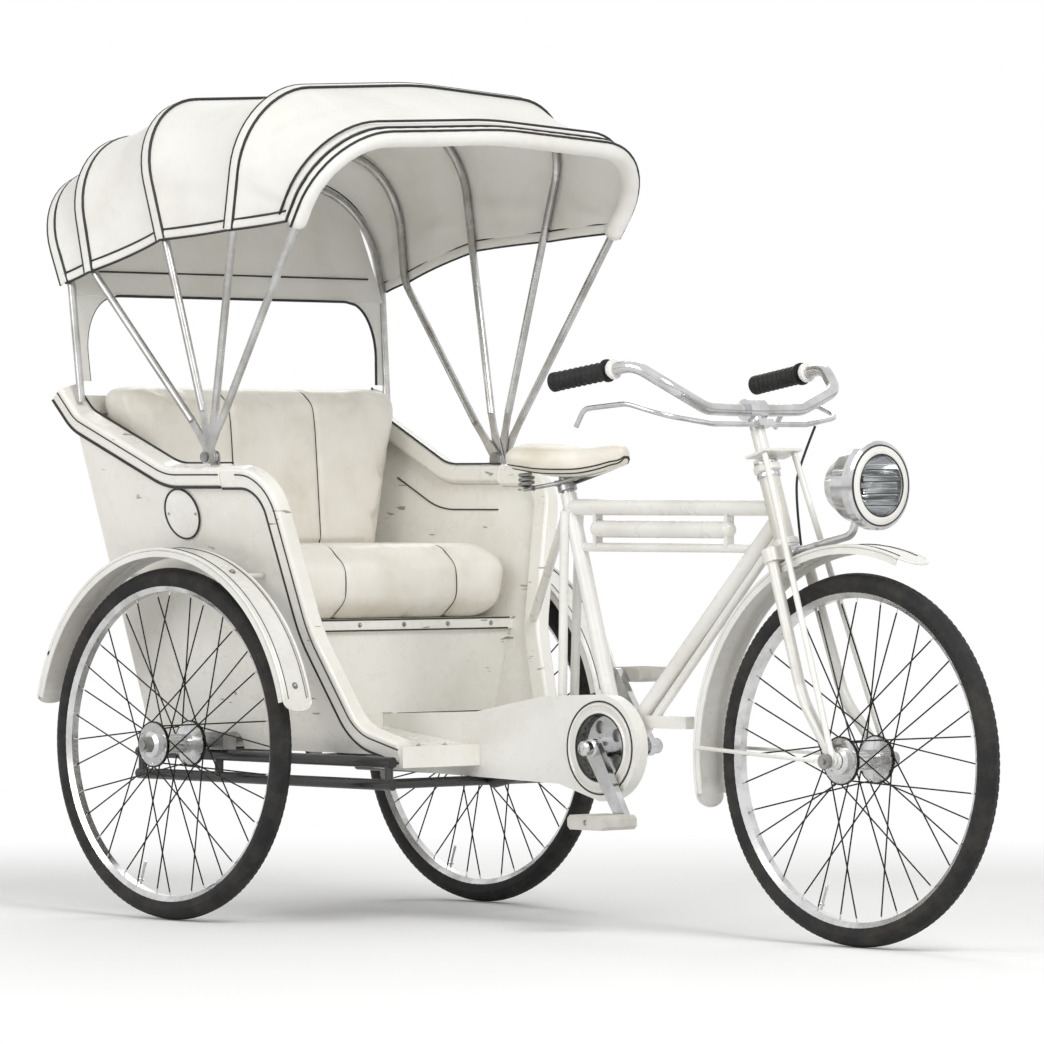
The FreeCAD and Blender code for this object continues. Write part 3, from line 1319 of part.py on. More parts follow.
def make_chain_case():
    """A sheet case: a round front over the chainring and a low tunnel back to the kick panel."""
    half, wall = val("case_half"), val("case_wall")
    disc = val("case_disc")
    rear = val("kick_station") - 22
    over = val("chain_height") / 2 + val("case_clear")
    top_z = run_height("upper", rear) + over
    low_z = run_height("lower", rear) - over

    def outline(inset):
        top = BOTTOM + Vector(0, 0, disc - inset)
        low = BOTTOM - Vector(0, 0, disc - inset)
        nose = BOTTOM + Vector(disc - inset, 0, 0)
        behind = station(rear - (40 if inset else 0), 0, 0).x
        rear_top = Vector(behind, 0, top_z + wall - inset)
        rear_low = Vector(behind, 0, low_z - wall + inset)
        hip_z = run_height("lower", val("case_hip")) - over - wall + inset
        hip = station(val("case_hip"), 0, hip_z)
        edge_x = val("floor_front")
        brow = station(edge_x, 0, run_height("upper", edge_x) + over + wall - inset)
        shoulder = station(val("case_shoulder"), 0, val("case_shoulder_height") - inset)
        edges = [Part.LineSegment(rear_top, brow), Part.LineSegment(brow, shoulder),
                 Part.LineSegment(shoulder, top), Part.Arc(top, nose, low),
                 Part.LineSegment(low, hip), Part.LineSegment(hip, rear_low),
                 Part.LineSegment(rear_low, rear_top)]
        return Part.Face(Part.Wire([edge.toShape() for edge in edges]))

    outer = outline(0)
    outer.translate(Vector(0, CHAIN_Y - half, 0))
    shell = outer.extrude(Vector(0, 2 * half, 0))
    inner = outline(wall)
    inner.translate(Vector(0, CHAIN_Y - half + wall, 0))
    shell = shell.cut(inner.extrude(Vector(0, 2 * (half - wall), 0)))
    window = Part.makeCylinder(val("case_window"), wall * 3, across(BOTTOM, CHAIN_Y - half - wall),
                               Vector(0, 1, 0))
    inside_hole = Part.makeCylinder(val("spindle_radius") + 5, wall * 4,
                                    across(BOTTOM, CHAIN_Y + half - 2 * wall), Vector(0, 1, 0))
    shell = shell.cut(window).cut(inside_hole)
    rings = []
    for radius in (val("case_window"), disc - 22):
        corners = [Vector(radius, wall / 2, 0), Vector(radius + 2, -wall, 0),
                   Vector(radius + 5, -wall, 0), Vector(radius + 7, wall / 2, 0)]
        bead = Part.Face(Part.makePolygon(corners + [corners[0]]))
        bead = bead.revolve(Vector(0, 0, 0), Vector(0, 1, 0), 360)
        bead.translate(across(BOTTOM, CHAIN_Y - half))
        rings.append(bead)
    shell = shell.multiFuse(rings)
    for name in ("cross_mid", "cross_front", "cross_low"):
        bar = doc.getObject(name)
        hole = Part.makeCylinder(val("cross_radius") + val("seat_gap"), 300,
                                 Vector(bar.Placement.Base.x, -150, bar.Placement.Base.z),
                                 Vector(0, 1, 0))
        shell = shell.cut(hole)
    feature("chain_case", shell)


# ---------------------------------------------------------------- tub
TUB_LEAN = radians(val("side_lean"))


def tub_half(height):
    """Half of the tub's outside width at a height."""
    return val("tub_half") - (val("lean_height") - height) * tan(TUB_LEAN)


def side_frame(side):
    """The frame that stands in a side panel's outer face."""
    return Placement(Vector(0, side * val("tub_half"), val("lean_height")),
                     Rotation(Vector(1, 0, 0), -side * val("side_lean")))


def in_side(x, height):
    """A point in the side panel's plane, by station and height over the ground."""
    return Vector(AXLE_X + x, 0, (height - val("lean_height")) / cos(TUB_LEAN))


def shifted(points, radii, shift):
    """A bent route in the XZ plane moved to its left, with its bends kept concentric."""
    ways = [(after - before).normalize() for before, after in zip(points, points[1:])]
    lefts = [Vector(-way.z, 0, way.x) for way in ways]
    moved = [points[0] + lefts[0] * shift]
    bends = []
    for index in range(1, len(points) - 1):
        first, second = lefts[index - 1], lefts[index]
        moved.append(points[index] + (first + second) * (shift / (1 + first.dot(second))))
        turn = ways[index - 1].x * ways[index].z - ways[index - 1].z * ways[index].x
        bends.append(radii[index - 1] - shift * (1 if turn > 0 else -1))
    moved.append(points[-1] + lefts[-1] * shift)
    return moved, bends


def strip(points, radii, width, low, high):
    """A bar of rectangular section along a bent route in the XZ plane, from y low to y high."""
    one, one_bends = shifted(points, radii, width / 2)
    two, two_bends = shifted(points, radii, -width / 2)
    edges = bent_path(one, one_bends).Edges
    edges.append(Part.LineSegment(one[-1], two[-1]).toShape())
    edges += bent_path(two, two_bends).Edges
    edges.append(Part.LineSegment(two[0], one[0]).toShape())
    face = Part.Face(Part.Wire(Part.__sortEdges__(edges)))
    face.translate(Vector(0, low, 0))
    return face.extrude(Vector(0, high - low, 0))


ARM_CENTRE = val("arm_front_height") - val("arm_depth") / 2
ARM_ROUTE = [in_side(val("back_high") - 20, val("arm_rear_height") - val("arm_depth") / 2),
             in_side(val("back_high") + 20, ARM_CENTRE + 114), in_side(-45, ARM_CENTRE),
             in_side(val("arm_front"), ARM_CENTRE)]
ARM_BENDS = [60, 150]
MEMBER_TOP = ARM_CENTRE - 4
MEMBER_ROUTE = [in_side(val("arm_front") + val("seat_gap") * 2, MEMBER_TOP),
                in_side(val("member_shoulder"), MEMBER_TOP),
                in_side(val("member_knee"), val("member_knee_height")),
                in_side(val("member_heel"), val("floor_height") + 24),
                in_side(val("floor_front") - val("seat_gap"), val("floor_height") - 8)]
MEMBER_BENDS = [80, 260, 95]


def arm_shape(side, spare=0.0):
    """An armrest, or the space it takes, in its side's frame."""
    middle = -side * val("side_thick") / 2
    half = val("arm_thick") / 2 + spare
    return strip(ARM_ROUTE, ARM_BENDS, val("arm_depth") + 2 * spare, middle - half, middle + half)


def member_shape(side, spare=0.0):
    """A front member, or the space it takes and some more past its foot, in its side's frame."""
    middle = -side * val("side_thick") / 2
    half = val("member_thick") / 2 + spare
    way = MEMBER_ROUTE[-1] - MEMBER_ROUTE[-2]
    route = MEMBER_ROUTE[:-1] + [MEMBER_ROUTE[-1] + way * (spare / 2)]
    return strip(route, MEMBER_BENDS, val("member_width") + 2 * spare,
                 middle - half, middle + half)


def rounded(bar, radius, width):
    """A bent bar with its long edges rounded; its end edges are as long as its width."""
    edges = [edge for edge in bar.Edges
             if abs(edge.Vertexes[0].Y - edge.Vertexes[-1].Y) < 1 and abs(edge.Length - width) > 0.5]
    return bar.makeFillet(radius, edges)


def make_side(side_name, side):
    """Side panel, front member, armrest and blank number disc of one side."""
    frame = side_frame(side)
    gap = val("seat_gap")
    arm_low, arm_bends = shifted(ARM_ROUTE, ARM_BENDS, -val("arm_depth") / 2 - gap)
    member_low, member_bends = shifted(MEMBER_ROUTE, MEMBER_BENDS, -val("member_width") / 2 - gap)
    edges = bent_path(arm_low, arm_bends).Edges
    edges.append(Part.LineSegment(arm_low[-1], member_low[0]).toShape())
    edges += bent_path(member_low, member_bends).Edges
    below = in_side(val("floor_front"), val("tub_low") - 60)
    corners = [member_low[-1], below, Vector(arm_low[0].x, 0, below.z), arm_low[0]]
    for first, second in zip(corners, corners[1:]):
        edges.append(Part.LineSegment(first, second).toShape())
    face = Part.Face(Part.Wire(Part.__sortEdges__(edges)))
    panel = face.extrude(Vector(0, -side * val("side_thick"), 0))
    panel.Placement = frame
    reach = 3000
    keep = Part.makeBox(reach, reach, reach, Vector(-reach / 2, -reach / 2, val("tub_low")))
    behind = profile([(back_station(200), 200), (back_station(1200), 1200), (-600, 1200),
                      (-600, 200)], 700)
    panel = panel.common(keep).cut(behind)
    notch = val("rear_shaft") + 12
    slot = Part.makeCylinder(notch, 1200, across(REAR_AXLE, -600), Vector(0, 1, 0))
    slot = slot.fuse(Part.makeBox(2 * notch, 1200, notch * 2,
                                  REAR_AXLE + Vector(-notch, -600, -2 * notch)))
    feature("tub_side_" + side_name, panel.cut(slot))

    member = rounded(member_shape(side), 7, val("member_width"))
    member.Placement = frame
    beam = Part.makeCylinder(val("cross_radius") + 2 * gap, 2 * val("rail_offset"),
                             station(val("cross_front"), -val("rail_offset"), float(CROSS_HEIGHT)),
                             Vector(0, 1, 0))
    strip_space = Part.makeBox(200, 2 * reach, 400,
                               station(val("floor_front") - gap, -reach, val("nosing_low") - 60))
    feature("side_member_" + side_name, member.cut(beam).cut(strip_space))
    arm = rounded(arm_shape(side), 9, val("arm_depth"))
    arm.Placement = frame
    feature("armrest_" + side_name, arm)
    centre = in_side(val("roundel_station"), val("roundel_height")) + Vector(0, side * gap, 0)
    disc = Part.makeCylinder(val("roundel_radius"), val("roundel_thick"), centre,
                             Vector(0, side, 0))
    disc.Placement = frame
    return disc


def inside_prism(spare):
    """The space between the side panels, less a gap to each."""
    low, high = val("tub_low") - 80, val("back_cushion_top") + 40
    points = [Vector(-2000, -(tub_half(low) - spare), low), Vector(-2000, tub_half(low) - spare, low),
              Vector(-2000, tub_half(high) - spare, high),
              Vector(-2000, -(tub_half(high) - spare), high)]
    return Part.Face(Part.makePolygon(points + [points[0]])).extrude(Vector(4000, 0, 0))


def profile(points, half):
    """A prism across the vehicle from an outline of stations and heights."""
    places = [station(x, -half, z) for x, z in points]
    return Part.Face(Part.makePolygon(places + [places[0]])).extrude(Vector(0, 2 * half, 0))


def back_station(height, ahead=0.0):
    """Station of the back panel's rear face at a height, or of a plane ahead of it."""
    share = (height - val("tub_low")) / (val("back_top") - val("tub_low"))
    return val("back_low") + (val("back_high") - val("back_low")) * share + ahead


def case_space():
    """The slot that the chain case takes, with a gap each side."""
    gap = val("seat_gap")
    top = run_height("upper", val("kick_station")) + val("chain_height") / 2 + val("case_clear")
    return Part.makeBox(700, 2 * (val("case_half") + gap), 400,
                        Vector(station(val("kick_station") - 60, 0, 0).x,
                               CHAIN_Y - val("case_half") - gap,
                               top + val("case_wall") + 2 - 400))


def make_tub():
    gap = val("seat_gap")
    inside = inside_prism(val("side_thick") / cos(TUB_LEAN) + gap)
    thick = val("panel_thick")
    low, high = val("tub_low"), val("back_top")
    back = profile([(back_station(low), low), (back_station(high), high),
                    (back_station(high, thick), high), (back_station(low, thick), low)], 700)
    back = back.common(inside)
    for side_name, side in SIDES:
        space = arm_shape(side, gap)
        space.Placement = side_frame(side)
        back = back.cut(space)
    feature("tub_back", back)

    kick, seat = val("kick_station"), val("seat_height")
    step, trim = low + gap, val("trim_height")
    front = kick + val("trim_thick")
    skirting = val("step_height") + trim
    box = profile([(back_station(seat, thick + gap), seat), (front, seat), (front, seat - trim),
                   (kick, seat - trim), (kick, skirting), (front, skirting), (front, step),
                   (kick - thick, step), (kick - thick, seat - thick),
                   (back_station(seat - thick, thick + gap), seat - thick)], 700)
    slot = case_space()
    feature("seat_box", box.common(inside).cut(slot))

    floor_front, floor_top = val("floor_front"), val("floor_height")
    floor_thick = val("floor_thick")
    rear = front + gap
    slope = (val("step_height") - floor_top) / (floor_front - kick)
    rear_top = floor_top + slope * (floor_front - rear)
    board = profile([(floor_front, floor_top), (rear, rear_top), (rear, rear_top - floor_thick),
                     (floor_front, floor_top - floor_thick)], 700)
    for name in ("cross_mid", "cross_front"):
        x = val(name)
        over = floor_top + slope * (floor_front - x) - floor_thick / 2
        board = board.fuse(profile([(x - 16, low), (x + 16, low), (x + 16, over), (x - 16, over)], 700))
    board = board.common(inside)
    # beside the front members the floor's edge stands clear of their inner faces
    between = inside_prism((val("side_thick") + val("member_thick")) / 2 / cos(TUB_LEAN) + gap)
    beside = (val("member_knee") + val("member_heel")) / 2
    ahead = profile([(beside, low - 60), (floor_front + 60, low - 60),
                     (floor_front + 60, seat), (beside, seat)], 700)
    board = board.cut(ahead.cut(between))
    member_spaces = []
    for side_name, side in SIDES:
        space = member_shape(side, gap)
        space.Placement = side_frame(side)
        member_spaces.append(space)
    nosing_half = tub_half(floor_top) + 8
    nosing = profile([(floor_front, val("nosing_low")),
                      (floor_front + val("nosing_thick"), val("nosing_low")),
                      (floor_front + val("nosing_thick"), floor_top + 4),
                      (floor_front + 1, floor_top + 4), (floor_front, floor_top)], nosing_half)
    for space in member_spaces:
        board = board.cut(space)
    feature("tub_floor", board.fuse(nosing).cut(slot))


def make_cushions():
    """Seat and back cushions as plain closed forms with rounded front edges."""
    gap, bend = val("seat_gap"), val("cushion_round")
    low = val("seat_height") + gap
    top = low + val("cushion_thick")
    front = val("kick_station") + val("cushion_nose")
    behind = val("panel_thick") + val("cushion_gap")
    thick = val("back_cushion_thick")
    clear = behind + thick + gap
    seat = padded("seat_cushion_block", "XZ_Plane", 1400, [[
        (AXLE_X + back_station(low, clear), low), (AXLE_X + front - bend / 2, low, bend / 2, 1),
        (AXLE_X + front, low + bend / 2), (AXLE_X + front, top - bend, bend, 1),
        (AXLE_X + front - bend, top), (AXLE_X + back_station(top, clear), top)]])
    width = feature("seat_width", inside_prism(val("side_thick") + val("cushion_gap")))
    common("seat_cushion", seat, width)
    top = val("back_cushion_top")
    back = padded("back_cushion_block", "XZ_Plane", 1400, [[
        (AXLE_X + back_station(low, behind), low), (AXLE_X + back_station(low, behind + thick), low),
        (AXLE_X + back_station(top - bend, behind + thick), top - bend, bend, 1),
        (AXLE_X + back_station(top, behind + thick - bend), top),
        (AXLE_X + back_station(top, behind), top)]])
    inset = (val("arm_thick") + val("side_thick")) / 2 + val("cushion_gap")
    back_width = feature("back_width", inside_prism(inset))
    common("back_cushion", back, back_width)


def make_rear_guards():
    half = val("guard_half")
    rod = val("stay_radius") * 1.5
    radius = val("guard_inner") - val("guard_skirt") / 2
    for side_name, side in SIDES:
        middle = REAR_AXLE + Vector(0, side * val("track") / 2, 0)
        parts = [arc_sheet(middle, val("guard_inner"), val("guard_sheet"), half,
                           val("guard_rear_front"), val("guard_rear_low"))]
        for angle in (62, 118):
            outer = polar(middle, radius, angle, -side * (half - 1))
            inner = across(outer, side * (tub_half(outer.z + rod) + val("seat_gap")))
            parts.append(Part.makeCylinder(rod, abs(outer.y - inner.y), inner, Vector(0, side, 0)))
        feature("rear_guard_" + side_name, parts[0].multiFuse(parts[1:]))


# ---------------------------------------------------------------- hood
PIVOT = station(val("pivot_station"), 0, val("pivot_height"))
LUG_STEP = val("lug_thick") + val("lug_gap")


class Hoop:
    """A hood bow's arch: a plane through a line across the vehicle, leaning by an angle."""

    def __init__(self, foot, angle, reach, low_half, low_reach):
        self.foot = foot
        self.up = Vector(sin(radians(angle)), 0, cos(radians(angle)))
        self.ahead = Vector(cos(radians(angle)), 0, -sin(radians(angle)))
        self.angle = angle
        self.reach = reach
        self.low_half = low_half
        self.low_reach = low_reach

    def point(self, y, up, ahead=0.0):
        return self.foot + self.up * up + self.ahead * ahead + Vector(0, y, 0)

    def arch(self, out=0.0, ahead=0.0):
        """The arch from the hood's right lower edge over the roof to its left one."""
        half, shoulder = val("bow_half") + out, self.reach - val("bow_fall") + out
        right = [(-(self.low_half + out), self.low_reach), (-half, shoulder)]
        left = [(-y, up) for y, up in reversed(right)]
        points = right + [(0, self.reach + out)] + left
        return [self.point(y, up, ahead) for y, up in points]


def arch_bends(out=0.0):
    return [val("bow_corner") + out, val("bow_crown") + out, val("bow_corner") + out]


def leg_half(order, reach, up):
    """A bow's half width at a height up its plane, on the straight leg below its shoulder."""
    foot_y = val("bow_foot") + order * LUG_STEP
    start = val("lug_length") - 12
    share = (up - start) / (reach - val("bow_fall") - start)
    return foot_y + (val("bow_half") - foot_y) * share


BOWS = (("front", 3), ("second", 2), ("third", 1))
HOOPS = {}
for bow_name, order in BOWS:
    bow_reach = val(bow_name + "_bow_reach")
    low_up = val(f"rail_{bow_name}_reach")
    HOOPS[bow_name] = Hoop(PIVOT, val(bow_name + "_bow_angle"), bow_reach,
                           leg_half(order, bow_reach, low_up), low_up)
HOOPS["fourth"] = Hoop(station(val("fourth_foot"), 0, val("fourth_foot_height")),
                       val("fourth_lean"), val("fourth_rise"), val("bow_foot_half"), 0)
HOOPS["rear"] = Hoop(station(val("rear_foot"), 0, val("rear_foot_height")),
                     val("rear_lean"), val("rear_rise"), val("bow_foot_half"), 0)


def lug(side, order, up):
    """A bow's flattened end with its eye, from the pivot along the bow's leg."""
    eye, end, length = val("lug_radius"), val("bow_radius"), val("lug_length") - 4
    half = val("lug_thick") / 2
    y = side * (val("bow_foot") + order * LUG_STEP)
    wide = Vector(up.z, 0, -up.x)
    points = [PIVOT + wide * eye, PIVOT + wide * end + up * (length * 0.62),
              PIVOT + wide * end + up * length, PIVOT - wide * end + up * length,
              PIVOT - wide * end + up * (length * 0.62), PIVOT - wide * eye]
    edges = [Part.LineSegment(first, second).toShape() for first, second in zip(points, points[1:])]
    edges.append(Part.Arc(points[-1], PIVOT - up * eye, points[0]).toShape())
    face = Part.Face(Part.Wire(edges))
    face.translate(Vector(0, y - half, 0))
    plate = face.extrude(Vector(0, 2 * half, 0))
    bore = Part.makeCylinder(val("pivot_pin") + val("running_gap"), 40, across(PIVOT, y - 20),
                             Vector(0, 1, 0))
    return plate.cut(bore)


def make_moving_bow(bow_name, order):
    """A hinged bow: one bent tube whose two ends are flattened into lugs on the pivot pins."""
    hoop = HOOPS[bow_name]
    foot_y = val("bow_foot") + order * LUG_STEP
    start = val("lug_length") - 12
    shoulder = hoop.reach - val("bow_fall")
    route = [hoop.point(-foot_y, start), hoop.point(-val("bow_half"), shoulder),
             hoop.point(0, hoop.reach), hoop.point(val("bow_half"), shoulder),
             hoop.point(foot_y, start)]
    arch = swept(route, arch_bends(), val("bow_radius"))
    lugs = [lug(side, order, hoop.up) for side in (-1, 1)]
    feature("hood_bow_" + bow_name, arch.multiFuse(lugs))


def make_fixed_bows():
    """The fourth bow on the pivots, and the rear bow on its two posts; neither moves."""
    hoop = HOOPS["fourth"]
    arch = hoop.arch()
    way = (hoop.foot - PIVOT).normalize()
    start = PIVOT + way * (val("lug_length") - 12)
    foot_y = val("bow_foot")
    route = [across(start, -foot_y)] + arch + [across(start, foot_y)]
    bow = swept(route, [90] + arch_bends() + [90], val("bow_radius"))
    feature("hood_bow_fourth", bow.multiFuse([lug(side, 0, way) for side in (-1, 1)]))

    hoop = HOOPS["rear"]
    arch = hoop.arch()
    foot_height = val("arm_rear_height") - val("arm_depth")
    foot_y = tub_half(foot_height) - val("side_thick") / 2
    posts = [station(val("post_foot"), side * foot_y, foot_height) for side in (-1, 1)]
    bow = swept([posts[0]] + arch + [posts[1]], [120] + arch_bends() + [120], val("bow_radius"))
    for side_name, side in SIDES:
        space = arm_shape(side, val("seat_gap"))
        space.Placement = side_frame(side)
        bow = bow.cut(space)
    solids = sorted(bow.Solids, key=lambda solid: -solid.Volume)
    feature("hood_bow_rear", solids[0])


def make_pivots():
    """On each armrest a cheek with a base and the pin through the four bows' lugs."""
    parts = []
    pin, eye = val("pivot_pin"), val("lug_radius")
    cheek_thick = val("lug_thick")
    first = val("bow_foot") - val("lug_thick") / 2 - val("lug_gap")
    last = val("bow_foot") + 3 * LUG_STEP + val("lug_thick") / 2 + val("lug_gap") / 2
    base_z = val("arm_front_height") - 4
    for side in (-1, 1):
        arm_space = arm_shape(side, val("seat_gap"))
        arm_space.Placement = side_frame(side)
        cheek = Part.makeCylinder(eye, cheek_thick, across(PIVOT, side * first), Vector(0, -side, 0))
        post = Part.makeBox(2 * eye, cheek_thick, PIVOT.z - base_z,
                            Vector(PIVOT.x - eye, min(side * first, side * (first - cheek_thick)),
                                   base_z))
        rod = Part.makeCylinder(pin, last - first + cheek_thick + 1,
                                across(PIVOT, side * (first - cheek_thick)), Vector(0, side, 0))
        head = Part.makeCylinder(pin + 4, 4, across(PIVOT, side * last), Vector(0, side, 0))
        parts.append(cheek.multiFuse([post.cut(arm_space), rod, head]))
    feature("hood_pivots", Part.makeCompound(parts))


def cloth_section(hoop, ahead):
    """A closed band over a hoop: the cloth's outer line and, its thickness below, its inner one."""
    low = val("bow_radius") + val("cloth_gap")
    high = low + val("cloth_thick")
    outer, inner = hoop.arch(high, ahead), hoop.arch(low, ahead)
    edges = bent_path(outer, arch_bends(high)).Edges
    edges.append(Part.LineSegment(outer[-1], inner[-1]).toShape())
    back = bent_path(list(reversed(inner)), arch_bends(low)).Edges
    edges += back
    edges.append(Part.LineSegment(inner[0], outer[0]).toShape())
    return Part.Wire(edges)


def make_panels():
    """The hood's cloth between each bow and the next, as thin closed shells."""
    roll = val("roll_radius") + 1
    spans = (("front", -roll, "second", 1), ("second", -1, "third", 1), ("third", -1, "fourth", 1),
             ("fourth", -1, "rear", -1))
    names = ("hood_cloth_front", "hood_cloth_middle", "hood_cloth_back", "hood_cloth_rear")
    for name, (ahead_name, ahead, behind_name, behind) in zip(names, spans):
        sections = [cloth_section(HOOPS[ahead_name], ahead), cloth_section(HOOPS[behind_name], behind)]
        feature(name, Part.makeLoft(sections, True, True))
    hoop = HOOPS["rear"]
    inset = -val("bow_radius") - val("cloth_gap")
    arch = hoop.arch(inset)
    drop = (val("curtain_low") - val("rear_foot_height")) / cos(radians(val("rear_lean")))
    low_half = hoop.low_half + inset
    edges = bent_path(arch, arch_bends(inset)).Edges
    corners = [arch[-1], hoop.point(low_half, drop), hoop.point(-low_half, drop), arch[0]]
    for first, second in zip(corners, corners[1:]):
        edges.append(Part.LineSegment(first, second).toShape())
    sheet_face = Part.Face(Part.Wire(edges))
    sheet_face.translate(hoop.ahead * (-val("cloth_thick") / 2))
    feature("hood_curtain", sheet_face.extrude(hoop.ahead * val("cloth_thick")))


def make_roll():
    """The padded roll round the front bow, from the hood's right lower edge to its left one."""
    hoop = HOOPS["front"]
    arch = hoop.arch()
    outer = swept(arch, arch_bends(), val("roll_radius"))
    inner = swept(arch, arch_bends(), val("bow_radius") + val("seat_gap"))
    feature("hood_roll", outer.cut(inner))


# ---------------------------------------------------------------- small things
def make_tool_box():
    """A rounded box between the twin top tubes, hung from a bracket at each end."""
    upper = val("top_tube_height")
    lower = upper - val("twin_gap")
    low, high = lower + val("slim_radius"), upper - val("tube_radius")
    middle = (low + high) / 2
    start = seat_axis(middle).x + val("box_rear_gap")
    end = on_head(middle).x - val("box_front_gap")
    radius = val("box_radius")
    parts = [Part.makeCylinder(radius, end - start, Vector(start, 0, middle), Vector(1, 0, 0))]
    for x, way in ((start, -1), (end, 1)):
        parts.append(Part.makeSphere(radius, Vector(x, 0, middle)))
        plate = Part.makeBox(8, 20, high - low + 14, Vector(x + way * 4 - 4, -10, low - 7))
        parts.append(plate)
    for height, tube_size in ((upper, "tube_radius"), (lower, "slim_radius")):
        space = Part.makeCylinder(val(tube_size) + val("seat_gap"), 900,
                                  Vector(start - 100, 0, height), Vector(1, 0, 0))
        parts = [part.cut(space) for part in parts]
    feature("tool_box", parts[0].multiFuse(parts[1:]))


def make_cable():
    """The front brake's cable, from the left lever down to the fork crown."""
    crown_top = val("head_low") - val("seat_gap") - 5
    points = [on_steering(2, 158, val("clamp_height") - 32.3), on_steering(-20, 118, 600),
              on_steering(-22, 84, 545), on_steering(-6, 46, crown_top + 3 * val("seat_gap"))]
    radii = []
    for before, corner, after in zip(points, points[1:], points[2:]):
        way, next_way = corner - before, after - corner
        turn = way.getAngle(next_way)
        radii.append(0.45 * min(way.Length, next_way.Length) / tan(turn / 2))
    feature("brake_cable", swept(points, radii, val("cable_radius")))
    print("brake_cable points", [tuple(round(value, 1) for value in point) for point in points])
    print("brake_cable bends", [round(radius, 1) for radius in radii])


make_chassis()
make_bearings()
make_chain_case()
discs = [make_side(side_name, side) for side_name, side in SIDES]
feature("roundels", Part.makeCompound(discs))
make_tub()
make_cushions()
make_rear_guards()
make_stays()
make_saddle()
make_saddle_frame()
for bow_name, order in BOWS:
    make_moving_bow(bow_name, order)
make_fixed_bows()
make_pivots()
make_panels()
make_roll()
make_tool_box()
make_cable()

# ---------------------------------------------------------------- check and write
NODES = (
    "rear_wheel_right", "rear_wheel_left", "rear_tyre_right", "rear_tyre_left", "front_wheel",
    "front_tyre", "crank", "pedal_right", "pedal_left", "chain", "rear_axle", "head_tube",
    "top_tubes", "down_tubes", "seat_tube", "seat_stays", "saddle", "saddle_frame", "tool_box",
    "fork", "front_axle", "handlebar", "grips", "brake_cable", "front_guard", "lamp_shell",
    "lamp_glass", "chassis_rails", "cross_tubes", "spine", "axle_bearings", "chain_case",
    "tub_side_right", "tub_side_left", "side_member_right", "side_member_left", "armrest_right",
    "armrest_left", "roundels", "tub_back", "seat_box", "tub_floor", "seat_cushion",
    "back_cushion", "rear_guard_right", "rear_guard_left", "hood_pivots", "hood_bow_front",
    "hood_bow_second", "hood_bow_third", "hood_bow_fourth", "hood_bow_rear", "hood_cloth_front",
    "hood_cloth_middle", "hood_cloth_back", "hood_cloth_rear", "hood_curtain", "hood_roll")
doc.recompute()
for thing in doc.Objects:
    if "Invalid" in thing.State or "Error" in thing.State:
        raise RuntimeError(f"{thing.Name} did not build: {thing.State}")
os.makedirs("parts", exist_ok=True)
for node in NODES:
    thing = doc.getObject(node)
    shape = thing.Shape
    if thing.Label != node or shape.isNull() or not shape.isValid() or not shape.Solids:
        raise RuntimeError(f"{node} has no valid solid")
    shape.exportStep(f"parts/{node}.step")
print(len(NODES), "sub-parts written")
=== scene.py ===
# %% [markdown]
# # Cycle rickshaw
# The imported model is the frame: every bar, panel and wheel already stands where it belongs.
# This script gives those parts their finishes, and makes the soft and small things anew:
# hood, cushions, saddle, tyre treads, chain, lamp lens, beading and fasteners.

# %% Load the frame
from math import atan2, cos, pi, radians, sin, sqrt, tan
import bpy
import bmesh
import numpy as np
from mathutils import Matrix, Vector


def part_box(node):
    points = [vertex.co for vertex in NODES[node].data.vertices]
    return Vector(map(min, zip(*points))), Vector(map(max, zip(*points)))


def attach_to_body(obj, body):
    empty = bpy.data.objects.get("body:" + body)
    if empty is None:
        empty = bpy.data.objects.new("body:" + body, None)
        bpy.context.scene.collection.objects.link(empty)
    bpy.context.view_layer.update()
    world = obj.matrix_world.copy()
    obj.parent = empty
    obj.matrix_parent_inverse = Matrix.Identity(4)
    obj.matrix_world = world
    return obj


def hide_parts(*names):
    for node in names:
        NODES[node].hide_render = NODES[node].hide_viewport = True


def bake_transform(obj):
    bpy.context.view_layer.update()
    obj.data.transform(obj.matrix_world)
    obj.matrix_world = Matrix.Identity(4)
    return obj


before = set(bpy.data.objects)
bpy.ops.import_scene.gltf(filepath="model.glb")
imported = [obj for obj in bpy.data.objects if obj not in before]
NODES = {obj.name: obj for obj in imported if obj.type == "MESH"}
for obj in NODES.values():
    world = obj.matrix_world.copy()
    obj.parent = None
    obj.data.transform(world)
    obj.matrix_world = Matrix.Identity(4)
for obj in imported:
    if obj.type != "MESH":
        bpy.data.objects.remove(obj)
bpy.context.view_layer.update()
FORWARD, LEFT, UP = np.eye(3)
SIDES = (("right", -1), ("left", 1))    # each side's name and the sign of its y


def middle_of(node):
    """The middle of a part's box."""
    low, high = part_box(node)
    return (np.array(low) + high) / 2


# The rear axle: stations are counted forward from it.
AXLE_X, _, AXLE_Z = middle_of("rear_tyre_right")
print(len(NODES), "parts of the frame, rear axle at x =", round(AXLE_X, 4))

# %% [markdown]
# ## Camera
# A long lens, about as high as the armrests, looks at the vehicle from its front right corner.
# From so far away parallel edges hardly run together, which keeps the proportions plain to see.

# %% Place the camera
scene = bpy.context.scene
camera = bpy.data.objects.new("camera", bpy.data.cameras.new("camera"))
scene.collection.objects.link(camera)
camera.data.sensor_width = 36.0
camera.data.lens = 226.8
camera.location = (AXLE_X + 10.0405, -8.9465, 0.8642)
camera.rotation_euler = (radians(90 - 0.30), 0, radians(46.63))
camera.data.clip_end = 100
scene.camera = camera
print("camera", round(camera.data.lens, 1), "mm at", [round(v, 2) for v in camera.location])


# %% [markdown]
# ## Small tools
# Everything new is a mesh made from whole arrays of points, or a curve.  Numpy works out all the
# points of a shape at once, and a formula can be changed and run again, as hand work can't.

